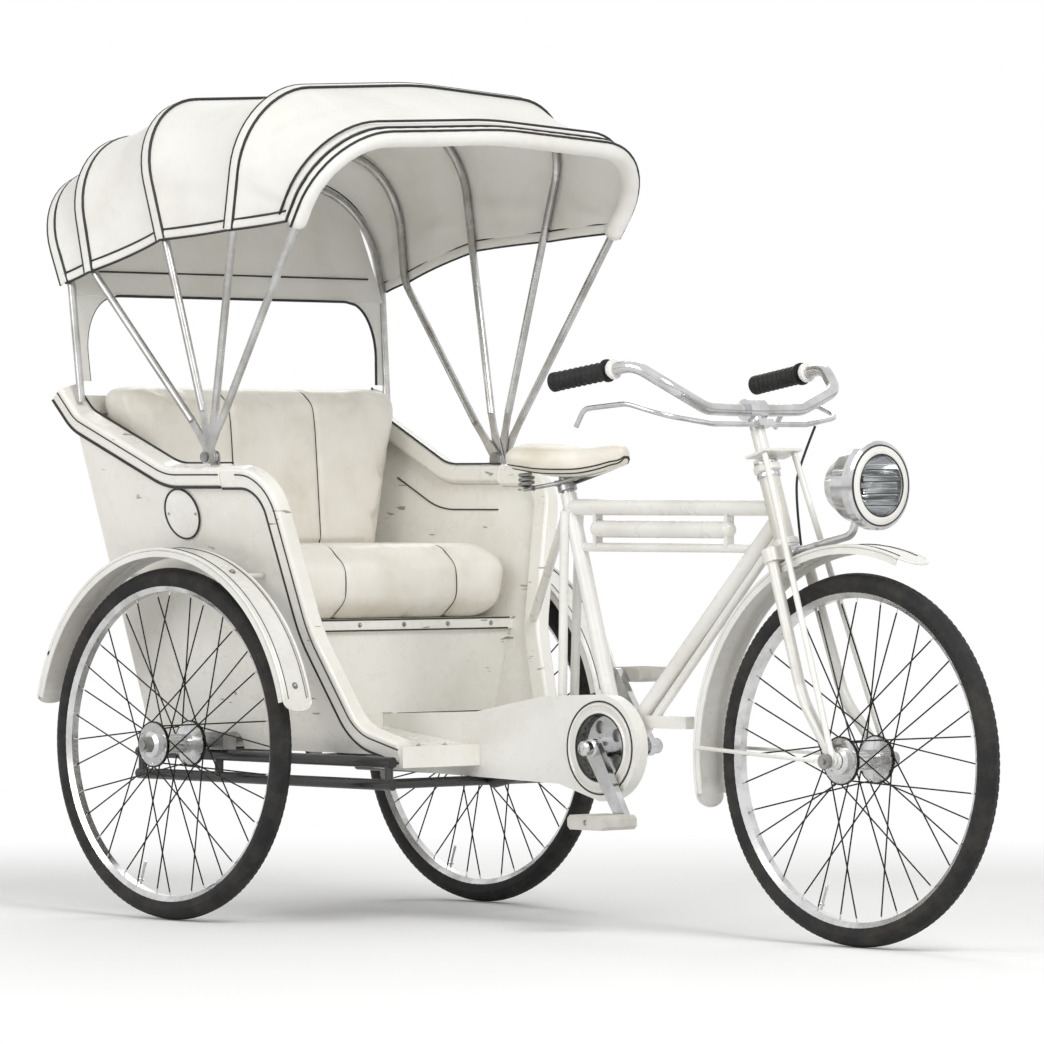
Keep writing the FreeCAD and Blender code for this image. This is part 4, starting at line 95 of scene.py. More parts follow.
# %% Helpers for meshes
def link(name, mesh, body, material):
    """A new smooth object, which rides on a body of the frame if one is named."""
    piece = bpy.data.objects.new(name, mesh)
    scene.collection.objects.link(piece)
    mesh.materials.append(material)
    mesh.shade_smooth()
    if body is not None:
        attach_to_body(piece, body)
    return piece


def mesh_of(name, points, faces):
    """A mesh from an (n, 3) array of points and its faces: a list of arrays with a row a face."""
    mesh = bpy.data.meshes.new(name)
    mesh.from_pydata(points.tolist(), [], [face for group in faces for face in group.tolist()])
    mesh.validate()
    return mesh


def grid_faces(rows, columns, wrap_rows=False, wrap_columns=False):
    """Quads of a grid of points stored row by row; a wrapped direction is closed."""
    r = np.arange(rows if wrap_rows else rows - 1)
    c = np.arange(columns if wrap_columns else columns - 1)
    r, c = [a.ravel() for a in np.meshgrid(r, c, indexing="ij")]
    r1, c1 = (r + 1) % rows, (c + 1) % columns
    return np.stack([r * columns + c, r * columns + c1, r1 * columns + c1, r1 * columns + c], 1)


def tube_faces(rows, columns, closed=False):
    """Faces of a tube whose rings are a grid's rows.  An open tube has a cap at either end."""
    if closed:
        return [grid_faces(rows, columns, True, True)]
    first, last = np.arange(columns), np.arange((rows - 1) * columns, rows * columns)
    return [grid_faces(rows, columns, False, True), np.stack([first, last[::-1]])]


def slab_faces(rows, columns):
    """Faces of a slab: two grids, one after the other, and a rim that joins their borders."""
    top, n = grid_faces(rows, columns), rows * columns
    r, c = np.arange(rows), np.arange(columns)
    border = np.concatenate([c[:-1], r[:-1] * columns + columns - 1,
                             (rows - 1) * columns + c[:0:-1], r[:0:-1] * columns])
    after = np.roll(border, -1)
    return [top, top[:, ::-1] + n, np.stack([border, after, after + n, border + n], 1)]


def outward(mesh):
    """Turns every face of closed shells outward."""
    work = bmesh.new()
    work.from_mesh(mesh)
    bmesh.ops.recalc_face_normals(work, faces=work.faces)
    work.to_mesh(mesh)
    work.free()
    return mesh


def joined(parts):
    """One (points, faces) pair from several: faces count on from the points before them."""
    starts = np.cumsum([0] + [len(points) for points, _ in parts])
    return (np.concatenate([points for points, _ in parts]),
            [group + start for (_, faces), start in zip(parts, starts) for group in faces])


def unit(rows):
    """Each row of an array divided by its length."""
    return rows / np.linalg.norm(rows, axis=-1, keepdims=True)


def steps_of(line):
    """The distance from each point of a line to the next."""
    return np.linalg.norm(np.diff(line, axis=0), axis=1)


def run_of(line):
    """How far along a line each of its points lies."""
    return np.concatenate([[0], np.cumsum(steps_of(line))])


print("mesh helpers ready")


# %% Helpers for lines
def smooth_line(points, steps):
    """A smooth line through points: on each stretch the cubic whose ends have the slope from one
    neighbour to the next (Catmull-Rom), sampled at equal shares."""
    p = np.asarray(points, float)
    p = np.concatenate([[2 * p[0] - p[1]], p, [2 * p[-1] - p[-2]]])
    t = np.linspace(0, 1, steps, endpoint=False)[:, None]
    out = []
    for a, b, c, d in zip(p, p[1:], p[2:], p[3:]):
        out.append(0.5 * (2 * b + (c - a) * t + (2 * a - 5 * b + 4 * c - d) * t ** 2
                          + (3 * b - a - 3 * c + d) * t ** 3))
    return np.concatenate(out + [p[-2:-1]])


def even(points, count):
    """The same line with count points at equal distances along it."""
    run = run_of(points)
    at = np.linspace(0, run[-1], count)
    return np.stack([np.interp(at, run, points[:, k]) for k in range(3)], 1)


def frames_along(line, up):
    """At each point the unit side and lift vectors across the line, with lift kept near up."""
    way = unit(np.gradient(line, axis=0))
    side = unit(np.cross(way, np.broadcast_to(up, line.shape)))
    return side, np.cross(side, way)


print("line helpers ready")


# %% Helpers for swept and turned shapes
def sweep(line, profile, up, closed=False):
    """A profile of (side, lift) pairs carried along a line, whose ends are joined or capped."""
    if closed:
        wide = np.concatenate([line[-2:], line, line[:2]])
        side, lift = [a[2:-2] for a in frames_along(wide, up)]
    else:
        side, lift = frames_along(line, up)
    points = (line[:, None] + side[:, None] * profile[None, :, :1]
              + lift[:, None] * profile[None, :, 1:]).reshape(-1, 3)
    return points, tube_faces(len(line), len(profile), closed)


def ring_profile(radius, count=8, flat=1.0):
    """A circle, or an ellipse whose height is flat times its width, as (side, lift) pairs."""
    turn = np.linspace(0, 2 * pi, count, endpoint=False)
    return np.stack([radius * np.cos(turn), flat * radius * np.sin(turn)], 1)


def along(line, radius, up=(0, 1, 0.02), count=8, flat=1.0, closed=False):
    """A cord along a line: its section is a circle, or an ellipse that is flat towards up."""
    return sweep(line, ring_profile(radius, count, flat), up, closed)


def circle(centre, radius, first, second, count):
    """The points centre + radius (cos first + sin second), once round."""
    turn = np.linspace(0, 2 * pi, count, endpoint=False)[:, None]
    return centre + radius * (np.cos(turn) * first + np.sin(turn) * second)


def spoke_way(angle):
    """The direction at an angle in degrees round an axle, counted up from straight ahead."""
    return np.array([cos(radians(angle)), 0, sin(radians(angle))])


def turned(profile, centre, axis, count=32):
    """A profile of (along, radius) pairs turned about an axis through a centre."""
    axis = Vector(axis).normalized()
    first = axis.orthogonal().normalized()
    second = axis.cross(first)
    turn = np.linspace(0, 2 * pi, count, endpoint=False)
    round_way = (np.cos(turn)[:, None] * np.array(first) + np.sin(turn)[:, None] * np.array(second))
    p = np.asarray(profile, float)
    points = (np.asarray(centre, float) + p[:, None, :1] * np.array(axis)
              + p[:, None, 1:] * round_way[None]).reshape(-1, 3)
    return points, tube_faces(len(p), count)


def solid(name, parts, body, material, sharp=40):
    """One piece from several closed parts, turned outward and smooth up to an angle."""
    mesh = outward(mesh_of(name, *joined(parts)))
    piece = link(name, mesh, body, material)
    mesh.set_sharp_from_angle(angle=radians(sharp))
    return piece


print("shape helpers ready")

# %% [markdown]
# ## Materials
# Each material is built from nodes with its detail at real scale, in the object's own
# coordinates, which are metres in the vehicle's frame.

# %% Material tools
def colour(code):
    """A hex colour as it is written for screens, turned into the linear values that nodes use."""
    parts = [int(code[i:i + 2], 16) / 255 for i in (1, 3, 5)]
    return tuple(c / 12.92 if c <= 0.04045 else ((c + 0.055) / 1.055) ** 2.4 for c in parts) + (1,)


def add(tree, kind, links=(), **values):
    """A node of that kind: values go to its settings or inputs, links are (input, output) pairs."""
    made = tree.nodes.new("ShaderNode" + kind)
    for key, value in values.items():
        if hasattr(made, key):
            setattr(made, key, value)
        else:
            made.inputs[key.replace("_", " ")].default_value = value
    for place, output in links:
        tree.links.new(made.inputs[place], output)
    return made


def ramp(tree, source, stops):
    """A colour ramp through (position, hex colour) stops."""
    made = add(tree, "ValToRGB", [("Fac", source)])
    line = made.color_ramp
    while len(line.elements) < len(stops):
        line.elements.new(0.5)
    for element, (place, code) in zip(line.elements, stops):
        element.position = place
        element.color = colour(code)
    return made.outputs["Color"]


def blended(tree, share, first, second):
    """Two colours or colour outputs mixed by a share, which is an output or a number."""
    made = add(tree, "Mix", data_type="RGBA")
    for place, value in ((0, share), (6, first), (7, second)):
        if isinstance(value, bpy.types.NodeSocket):
            tree.links.new(made.inputs[place], value)
        else:
            made.inputs[place].default_value = value
    return made.outputs[2]


def noise(tree, size, detail=3.0, rough=0.5, stretch=(1, 1, 1)):
    """Noise in the object's coordinates, whose blobs are about size millimetres across."""
    where = add(tree, "TexCoord").outputs["Object"]
    if stretch != (1, 1, 1):
        where = add(tree, "Mapping", [("Vector", where)], Scale=stretch).outputs["Vector"]
    return add(tree, "TexNoise", [("Vector", where)], Scale=1000 / size, Detail=detail,
               Roughness=rough).outputs["Fac"]


def remap(tree, source, low, high, to_low, to_high):
    """A value moved from the range low..high to the range to_low..to_high."""
    return add(tree, "MapRange", [("Value", source)], From_Min=low, From_Max=high,
               To_Min=to_low, To_Max=to_high).outputs["Result"]


def bump(tree, height, distance, strength=1.0, before=None):
    """Relief from a height of 0 to 1 that stands distance metres high."""
    made = add(tree, "Bump", [("Height", height)], Distance=distance, Strength=strength)
    if before is not None:
        tree.links.new(made.inputs["Normal"], before)
    return made.outputs["Normal"]


def new_material(name, show, **values):
    """A material with a Principled shader; values are set on its own sockets."""
    made = bpy.data.materials.new(name)
    made.use_nodes = True
    made.diffuse_color = colour(show)
    tree = made.node_tree
    shader = tree.nodes["Principled BSDF"]
    shader.inputs["Base Color"].default_value = colour(show)
    for key, value in values.items():
        shader.inputs[key.replace("_", " ")].default_value = value
    return made, tree, shader


def feed(tree, shader, **outputs):
    """Links outputs to the shader's inputs of those names."""
    for key, output in outputs.items():
        tree.links.new(shader.inputs[key.replace("_", " ")], output)


print("material tools ready")


# %% [markdown]
# ## Paint
# The tub, the frame and the guards are finished in oil enamel, laid on with a brush.  To the eye
# that is a warm white with a soft gloss: the tone drifts from one load of the brush to the next,
# painted shade darkens the corners, and the ply under the tub's paint opens in short checks along
# its grain.  One function makes every enamel, so that they differ only in colour, gloss and checks.

# %% Enamels
def enamel(name, base, deep, dust_and_shade, rough=0.26, coat=0.5, checks=False):
    """Brushed enamel: tone drift 170 mm wide, one load of a brush; painted shade in the hollows;
    specks of 2.4 mm, where real dust is under 1 mm and would not show; brush marks 11 mm apart,
    drawn four times too coarse, along the length.  Checks are 3 mm wide and 25 mm long, in sparse
    patches."""
    made, tree, shader = new_material(name, base, Roughness=rough, Coat_Weight=coat,
                                      Coat_Roughness=0.12)
    shade = ramp(tree, noise(tree, 170, 3, 0.55), [(0.3, deep), (0.62, base)])
    # Painted shade: where the surface is hollow, as pointiness shows, its colour is darkened
    # towards the speck colour.
    hollow_shade = remap(tree, add(tree, "NewGeometry").outputs["Pointiness"], 0.44, 0.49, 0.35, 0)
    shade = blended(tree, hollow_shade, shade, colour(dust_and_shade))
    speck = remap(tree, noise(tree, 2.4, 2, 0.6), 0.70, 0.78, 0, 0.35)
    shade = blended(tree, speck, shade, colour(dust_and_shade))
    if checks:
        patch = remap(tree, noise(tree, 95, 1, 0.4), 0.63, 0.67, 0, 1)
        line = remap(tree, noise(tree, 7, 1, 0.3, (0.16, 0.16, 1)), 0.66, 0.70, 0, 0.75)
        check = add(tree, "Math", [(0, patch), (1, line)], operation="MULTIPLY").outputs[0]
        shade = blended(tree, check, shade, colour("#6f695c"))
    marks = noise(tree, 11, 3, 0.6, (1, 1, 7))
    gloss = remap(tree, noise(tree, 38, 4, 0.6), 0.3, 0.7, rough - 0.05, rough + 0.16)
    feed(tree, shader, Base_Color=shade, Roughness=gloss, Normal=bump(tree, marks, 0.0004, 0.35))
    return made


tub_paint = enamel("cream_tub_enamel", "#edebe4", "#e4e1d8", "#b3ac9d", checks=True)
frame_paint = enamel("ivory_frame_enamel", "#e8e7e2", "#dcdad3", "#9a9485")
black_paint = enamel("black_stove_enamel", "#18181a", "#101012", "#4a443c", 0.3)
disc_paint = enamel("white_disc_enamel", "#f3f2ee", "#e6e4dc", "#b9b2a2", 0.2)
print("four enamels")

# %% [markdown]
# ## Metal
# Bars and lamp are plated, the hood's bows are drawn steel, and nuts and springs are zinc.  Plate
# is almost a mirror with dull patches where hands rub it; drawn steel keeps fine lines.  A metal's
# colour is its reflection, so the base colour is pale and the look comes from roughness.

# %% Metals
def metal(name, base, dull, rough, spread=0.1, fine=3.3, depth=0.00005):
    """Bare metal: finger-dull patches 55 mm wide, and scratches.  Real scratches are a tenth of a
    millimetre wide; they are drawn 3 mm wide so that they show."""
    made, tree, shader = new_material(name, base, Metallic=1.0, Roughness=rough)
    patch = noise(tree, 55, 4, 0.6)
    shade = ramp(tree, patch, [(0.32, dull), (0.6, base)])
    scratch = noise(tree, fine, 2, 0.5, (1, 6, 1))
    gloss = remap(tree, patch, 0.3, 0.7, rough + spread, rough)
    feed(tree, shader, Base_Color=shade, Roughness=gloss, Normal=bump(tree, scratch, depth, 0.4))
    return made


chrome = metal("chrome_plate", "#d6d6d8", "#b9b8b6", 0.10, 0.10)
steel = metal("zinc_steel", "#a9a9a8", "#85837f", 0.30, 0.12)
dark_steel = metal("oiled_steel", "#5c5a56", "#3a3733", 0.36, 0.16)
bow_steel = metal("bright_bow_steel", "#c9c9c8", "#a9a7a3", 0.24, 0.10)
print("four metals")

# %% [markdown]
# A wheel is one part of the frame, but its rim and hub are bright and its spokes are browned
# steel.  How far a point lies from the wheel's axle tells which it is.  A distance does not
# change as the wheel turns, so the finish turns with it.

# %% Wheel finish
FRONT_AXLE = middle_of("front_tyre")
RIM_FROM, HUB_TO = 0.296, 0.042             # metres from the axle


def laced_wheel(name, axles):
    """Plated rim and hub with browned spokes between; dull patches 50 mm, scratches 3 mm wide."""
    made, tree, shader = new_material(name, "#d2d2d3", Metallic=1.0, Roughness=0.16)
    where = add(tree, "SeparateXYZ", [("Vector", add(tree, "TexCoord").outputs["Object"])])
    near = None
    for x, z in axles:
        flat = add(tree, "CombineXYZ", [("X", where.outputs["X"]), ("Z", where.outputs["Z"])])
        far = add(tree, "VectorMath", [(0, flat.outputs["Vector"])], operation="DISTANCE")
        far.inputs[1].default_value = (x, 0, z)
        far = far.outputs["Value"]
        near = far if near is None else add(tree, "Math", [(0, near), (1, far)],
                                            operation="MINIMUM").outputs[0]
    inner = remap(tree, near, HUB_TO, HUB_TO + 0.002, 0, 1)
    outer = remap(tree, near, RIM_FROM, RIM_FROM + 0.002, 1, 0)
    spoke = add(tree, "Math", [(0, inner), (1, outer)], operation="MULTIPLY").outputs[0]
    patch = noise(tree, 50, 4, 0.6)
    bright = ramp(tree, patch, [(0.32, "#b7b6b4"), (0.6, "#dadadb")])
    shade = blended(tree, spoke, bright, colour("#2c2b2a"))
    feed(tree, shader, Base_Color=shade, Roughness=remap(tree, patch, 0.3, 0.7, 0.3, 0.12),
         Normal=bump(tree, noise(tree, 3.3, 2, 0.5), 0.00005, 0.4))
    return made


wheel_plate = laced_wheel("laced_wheel_plate", ((AXLE_X, AXLE_Z), (FRONT_AXLE[0], FRONT_AXLE[2])))
print("wheels: rim from", RIM_FROM, "m, hub to", HUB_TO, "m")

# %% [markdown]
# ## Rubber, hide and cloth
# Moulded rubber looks nearly black and matt, paler where dust lies.  Leathercloth is a woven
# sheet with an embossed plastic skin: pebbles in rows of creases, shiny on the rubbed high spots.
# Proofed canvas is a plain weave filled with wax, so it has little sheen and soft stains.

# %% Rubber
def rubber(name, base, pale, rough, grain=1.1, depth=0.0002):
    """Moulded rubber: dust in patches 45 mm wide, and the mould's grain.  Real grain is 0.2 mm;
    it is drawn about 1 mm wide so that it shows."""
    made, tree, shader = new_material(name, base, Roughness=rough, Specular_IOR_Level=0.35)
    dust = noise(tree, 45, 5, 0.65)
    shade = ramp(tree, dust, [(0.42, base), (0.74, pale)])
    gloss = remap(tree, dust, 0.3, 0.75, rough - 0.12, rough + 0.12)
    feed(tree, shader, Base_Color=shade, Roughness=gloss,
         Normal=bump(tree, noise(tree, grain, 2, 0.5), depth, 0.5))
    return made


tyre_rubber = rubber("tyre_rubber", "#151516", "#3b3833", 0.72)
grip_rubber = rubber("grip_rubber", "#121213", "#2b2a28", 0.6, 0.7, 0.00012)
pedal_rubber = rubber("pale_pedal_rubber", "#c9c7c0", "#b3afa5", 0.66, 1.4, 0.0003)
print("three rubbers")


# %% Leathercloth
def leather(name, base, deep, pale, rough, cell=2.6, depth=0.00025):
    """Embossed cover: pebbles of cell millimetres, real ones 1 mm, in a tone that drifts over
    110 mm, with creases about 30 mm apart."""
    made, tree, shader = new_material(name, base, Roughness=rough, Sheen_Weight=0.08)
    where = add(tree, "TexCoord").outputs["Object"]
    cells = add(tree, "TexVoronoi", [("Vector", where)], Scale=1000 / cell, Randomness=0.9)
    pebble = remap(tree, cells.outputs["Distance"], 0.0, 0.75, 1, 0)
    drift = noise(tree, 110, 4, 0.55)
    shade = ramp(tree, drift, [(0.28, deep), (0.5, base), (0.78, pale)])
    crease = remap(tree, noise(tree, 29, 6, 0.7), 0.44, 0.56, 0, 1)
    relief = bump(tree, crease, 0.0007, 0.30)
    feed(tree, shader, Base_Color=shade, Normal=bump(tree, pebble, depth, 0.45, relief),
         Roughness=remap(tree, drift, 0.3, 0.7, rough - 0.08, rough + 0.1))
    return made


hide = leather("cream_leathercloth", "#e6e2d8", "#d9d4c7", "#eeebe4", 0.42)
saddle_hide = leather("pale_saddle_hide", "#e0dacd", "#cdc5b3", "#ece8df", 0.38, 1.9, 0.0002)
black_piping = leather("black_piping", "#161514", "#0e0d0d", "#2c2a27", 0.5, 1.4, 0.0001)
print("three covers")


# %% Canvas
THREADS = 2 * pi / 0.009    # threads lie 0.6 mm apart; drawn 9 mm apart they show from ten metres


def canvas(name, base, deep, stain, depth=0.0003):
    """Plain weave: sin(threads x) times sin(0.7 threads (y + z)) is high where a thread lies on
    top.  Tone drifts over 200 mm, stains are 320 mm wide, puckers 60 mm."""
    made, tree, shader = new_material(name, base, Roughness=0.82, Sheen_Weight=0.12,
                                      Sheen_Roughness=0.5)
    where = add(tree, "TexCoord").outputs["Object"]
    parts = add(tree, "SeparateXYZ", [("Vector", where)]).outputs
    slope = add(tree, "Math", [(0, parts["Y"]), (1, parts["Z"])], operation="ADD").outputs[0]
    waves = []
    for source, share in ((parts["X"], 1.0), (slope, 0.7)):
        turn = add(tree, "Math", [(0, source)], operation="MULTIPLY")
        turn.inputs[1].default_value = THREADS * share
        waves.append(add(tree, "Math", [(0, turn.outputs[0])], operation="SINE").outputs[0])
    weave = add(tree, "Math", [(0, waves[0]), (1, waves[1])], operation="MULTIPLY").outputs[0]
    weave = remap(tree, weave, -1, 1, 0, 1)
    shade = ramp(tree, noise(tree, 200, 5, 0.6), [(0.3, deep), (0.55, base)])
    blot = remap(tree, noise(tree, 320, 6, 0.7), 0.60, 0.78, 0, 0.25)
    shade = blended(tree, blot, shade, colour(stain))
    pucker = bump(tree, noise(tree, 62, 3, 0.5), 0.004, 0.18)
    feed(tree, shader, Base_Color=shade, Normal=bump(tree, weave, depth, 0.5, pucker))
    return made


hood_canvas = canvas("hood_canvas", "#ecebe6", "#e2dfd8", "#c9c4b6")
print("canvas with threads drawn", round(2000 * pi / THREADS, 1), "mm apart")

# %% [markdown]
# ## Glass
# The lamp's lens is pressed soda glass: clear, IOR 1.5, with the faint waves that pressing
# leaves.  Full transmission lets Cycles bend the light as glass does.  The waves are bump, because
# they are too shallow to show in the outline.

# %% Lamp glass
lens_glass, lens_tree, lens_shader = new_material("clear_lamp_glass", "#f3f7f8", Roughness=0.04,
                                                  IOR=1.5, Transmission_Weight=1.0)
waves = noise(lens_tree, 17, 2)             # waves of pressed glass, 17 mm apart
feed(lens_tree, lens_shader, Normal=bump(lens_tree, waves, 0.0003, 0.2))
print(len(bpy.data.materials), "materials")

# %% [markdown]
# ## Finishes of the frame's own parts
# Each part of the frame keeps its shape and takes the finish that the real one has.  The table
# also dresses the parts that are made anew further down, so that none is left bare.

# %% Dress the frame's parts
DRESS = [
    (frame_paint, ("head_tube", "top_tubes", "down_tubes", "seat_tube", "seat_stays", "tool_box",
                   "fork", "front_guard", "rear_guard_right", "rear_guard_left", "chain_case")),
    (black_paint, ("chassis_rails", "cross_tubes", "spine")),
    (bow_steel, ("hood_bow_front", "hood_bow_second", "hood_bow_third", "hood_bow_fourth",
                 "hood_bow_rear")),
    (tub_paint, ("tub_side_right", "tub_side_left", "side_member_right", "side_member_left",
                 "armrest_right", "armrest_left", "tub_back", "seat_box", "tub_floor")),
    (wheel_plate, ("rear_wheel_right", "rear_wheel_left", "front_wheel")),
    (chrome, ("crank", "handlebar", "lamp_shell")),
    (steel, ("rear_axle", "front_axle", "axle_bearings", "hood_pivots", "saddle_frame")),
    (dark_steel, ("chain",)),
    (tyre_rubber, ("rear_tyre_right", "rear_tyre_left", "front_tyre")),
    (grip_rubber, ("grips", "brake_cable")),
    (pedal_rubber, ("pedal_right", "pedal_left")),
    (disc_paint, ("roundels",)),
    (lens_glass, ("lamp_glass",)),
    (hide, ("seat_cushion", "back_cushion")),
    (saddle_hide, ("saddle",)),
    (hood_canvas, ("hood_cloth_front", "hood_cloth_middle", "hood_cloth_back", "hood_cloth_rear",
                   "hood_curtain", "hood_roll")),
]
for finish, node_names in DRESS:
    for node_name in node_names:
        data = NODES[node_name].data
        data.materials.clear()
        data.materials.append(finish)
        data.shade_smooth()
        data.set_sharp_from_angle(angle=radians(35))
undressed = set(NODES) - {n for _, names in DRESS for n in names}
print("dressed", len(NODES) - len(undressed), "parts; left over:", sorted(undressed))

# %% [markdown]
# ## Brake cable
# On the real vehicle a sheathed cable of 5 mm runs from the left brake lever, drops under its own
# weight and goes into the head of the fork.  A smooth spline with few control points bends as
# stiff wire does.

# %% Hang the brake cable
def cable(name, route, diameter, material, body):
    """A curve whose control points are the route; order 3 keeps it smooth at every point."""
    curve = bpy.data.curves.new(name, "CURVE")
    curve.dimensions = "3D"
    line = curve.splines.new("NURBS")
    line.points.add(len(route) - 1)
    for point, place in zip(line.points, route):
        point.co = (*place, 1)
    line.order_u = 3
    line.use_endpoint_u = True
    curve.resolution_u = 24
    curve.bevel_depth = diameter / 2
    curve.bevel_resolution = 5
    curve.use_fill_caps = True
    curve.materials.append(material)
    piece = bpy.data.objects.new(name, curve)
    scene.collection.objects.link(piece)
    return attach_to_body(piece, body)


CABLE = [(0.5058, 0.1580, 0.9821), (0.5064, 0.1180, 0.9128), (0.5224, 0.0840, 0.8601),
         (0.5783, 0.0460, 0.7468)]
brake = cable("brake_sheath", CABLE, 0.005, grip_rubber, "fork")
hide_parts("brake_cable")
print("brake cable with", len(CABLE), "control points")

# %% [markdown]
# ## Hood
# The real hood is proofed canvas stretched over five bent bows.  Three bows turn on a pin beside
# each armrest; the fourth and the rear one stand still.  The cloth is tight over each bow and
# hangs in a shallow trough between two of them, because its pull runs lengthways while the
# bows push it up.  So each panel is worked out as a surface: the line of one bow is blended into
# the next, and the trough is taken off along the bows' outward direction.

# %% Lines with rounded corners
def rounded_line(corners, radii, runs, bends):
    """Straight runs between corners of a plane line, each corner replaced by its tangent arc:
    the arc starts at the corner plus radius / tan(half angle) along the run, its centre lies
    radius / sin(half angle) along the bisector.  runs and bends count the points of each."""
    c = np.asarray(corners, float)
    pieces, here = [], c[0]
    for k, radius in enumerate(radii, 1):
        back, ahead = [(c[m] - c[k]) / np.linalg.norm(c[m] - c[k]) for m in (k - 1, k + 1)]
        half = np.arccos(np.clip(back @ ahead, -1, 1)) / 2
        first, last = [c[k] + way * radius / tan(half) for way in (back, ahead)]
        middle = back + ahead
        centre = c[k] + middle / np.linalg.norm(middle) * radius / sin(half)
        a, b = first - centre, last - centre
        turn = np.arccos(np.clip(a @ b / radius ** 2, -1, 1))
        t = np.linspace(0, 1, bends)[:, None]
        share = np.linspace(0, 1, runs, endpoint=False)[:, None]
        pieces += [here + (first - here) * share,
                   centre + (np.sin((1 - t) * turn) * a + np.sin(t * turn) * b) / sin(turn)]
        here = last
    share = np.linspace(0, 1, runs + 1)[1:, None]
    pieces.append(here + (c[-1] - here) * share)
    return np.concatenate(pieces)


print("rounded lines ready")

# %% Lines of the bows
PIN = (AXLE_X + 0.083, 0.925)
SHOULDER_HALF, FALL = 0.440, 0.026          # half width at the shoulders, and their drop
BENDS = (0.150, 0.900, 0.150)               # bends at shoulder, crown, shoulder
FOOT_HALF, FOOT_STEP = 0.388, 0.0062        # half width at the pins, and the step from bow to bow
EYE = 0.096                                 # a leg spreads from this height over the pin on


class Bow:
    """A bow's plane and its outline from the right lower edge over the roof to the left one."""

    def __init__(self, foot, lean, reach, low_half, low):
        self.foot = np.array([foot[0], 0, foot[1]])
        self.up = np.array([sin(radians(lean)), 0, cos(radians(lean))])
        self.ahead = np.array([cos(radians(lean)), 0, -sin(radians(lean))])
        self.reach, self.low_half, self.low = reach, low_half, low

    def arch(self, out=0.0, ahead=0.0, lower=0.0):
        """Points along the bow, moved outward and forward; lower carries both ends further down."""
        half, shoulder = SHOULDER_HALF + out, self.reach - FALL + out
        slope = (half - self.low_half - out) / (shoulder - self.low)
        low_half = self.low_half + out - slope * lower
        corners = [(-low_half, self.low - lower), (-half, shoulder), (0, self.reach + out),
                   (half, shoulder), (low_half, self.low - lower)]
        flat = rounded_line(corners, [b + out for b in BENDS], 12, 14)
        return self.foot + flat[:, 1:] * self.up + self.ahead * ahead + flat[:, :1] * LEFT

    def outward(self):
        """At each point the direction away from the hood's inside."""
        return unit(self.arch(0.02) - self.arch(0.0))


def moving_bow(order, lean, reach, low):
    """A bow on the pivot pins, whose foot stands a step further out than the one behind it."""
    foot = FOOT_HALF + FOOT_STEP * order
    low_half = foot + (SHOULDER_HALF - foot) * (low - EYE) / (reach - FALL - EYE)
    return Bow(PIN, lean, reach, low_half, low)


# A moving bow has its order from the back, its lean in degrees, its reach over the pin and the
# height of the cloth's lower edge; a fixed one its foot, lean, reach, and that edge's half width
# and height.
BOW = {
    "front": moving_bow(3, 33.4, 0.764, 0.541),
    "second": moving_bow(2, 12.8, 0.758, 0.461),
    "third": moving_bow(1, -13.9, 0.747, 0.449),
    "fourth": Bow((AXLE_X - 0.243, 1.301), -10, 0.286, 0.426, 0.0),
    "rear": Bow((AXLE_X - 0.314, 1.281), -20, 0.250, 0.426, 0.0),
}
print({name: round(float(bow.arch()[:, 2].max()), 3) for name, bow in BOW.items()})


# %% Cloth panels
def panel_surface(first, second, first_ahead, second_ahead, out, columns=25, sag=0.055, lower=0.0):
    """The cloth between two bows: (1 - t) first + t second, less a trough of sag times the span
    times 4 t (1 - t), and low creases that fan out from the shoulders."""
    a, b = BOW[first].arch(out, first_ahead, lower), BOW[second].arch(out, second_ahead, lower)
    away = unit(BOW[first].outward() + BOW[second].outward())
    span = np.linalg.norm(b - a, axis=1)[:, None]
    t = np.linspace(0, 1, columns)[None]
    u = np.linspace(-1, 1, len(a))[:, None]
    trough = sag * span * 4 * t * (1 - t)
    near_shoulder = np.exp(-((np.abs(u) - 0.72) / 0.2) ** 2)
    fold = np.sin(9.0 * u * u * pi + 2.2 * t) * np.sin(pi * t) * near_shoulder
    pull = np.sin(21 * u + 1.3) * np.sin(pi * t) ** 2 * (np.abs(u) > 0.55)
    depth = (trough + 0.0022 * fold + 0.0008 * pull)[..., None]
    t = t[..., None]
    return a[:, None] * (1 - t) + b[:, None] * t - away[:, None] * depth


def thickened(name, points, thick, body, material, flip=False):
    """A grid surface made a closed sheet: its own grid, a copy moved against the grid's normals,
    or along them with flip, by the thickness, and a rim that joins the two borders."""
    normal = unit(np.cross(np.gradient(points, axis=0), np.gradient(points, axis=1)))
    if flip:
        normal = -normal
    shape = np.concatenate([points.reshape(-1, 3), (points - normal * thick).reshape(-1, 3)])
    mesh = outward(mesh_of(name, shape, slab_faces(*points.shape[:2])))
    piece = link(name, mesh, body, material)
    mesh.set_sharp_from_angle(angle=radians(50))
    return piece


print("cloth tools ready")

# %% Make the panels
CLOTH, CLOTH_OUT = 0.003, 0.0115            # its thickness, and its distance from a bow's line
# Each row: name, node, bows, their forward offsets, bodies or body, and how the cloth turns: the
# lean of its planes in degrees, midway between its two bows, and how far along their normal from
# the pin's height at the rear axle the turn starts and ends.
PANELS = (
    ("front", "hood_cloth_front", "front", "second", -0.0205, 0.001, ("front_bow", "second_bow"),
     (23.1, 0.1534, -0.0056)),
    ("middle", "hood_cloth_middle", "second", "third", -0.001, 0.001, ("second_bow", "third_bow"),
     (0.0, 0.185, -0.025)),
    ("back", "hood_cloth_back", "third", "fourth", -0.001, 0.001, ("third_bow", "chassis"),
     (-12.0, 0.0570, -0.1494)),
    ("rear", "hood_cloth_rear", "fourth", "rear", -0.001, -0.001, "chassis", None),
)


def attach(piece, bodies, turn):
    """Cloth that crosses a hinge stays where it stands, on no body; the rest rides on its body."""
    if turn is None:
        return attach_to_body(piece, bodies)
    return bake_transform(piece)


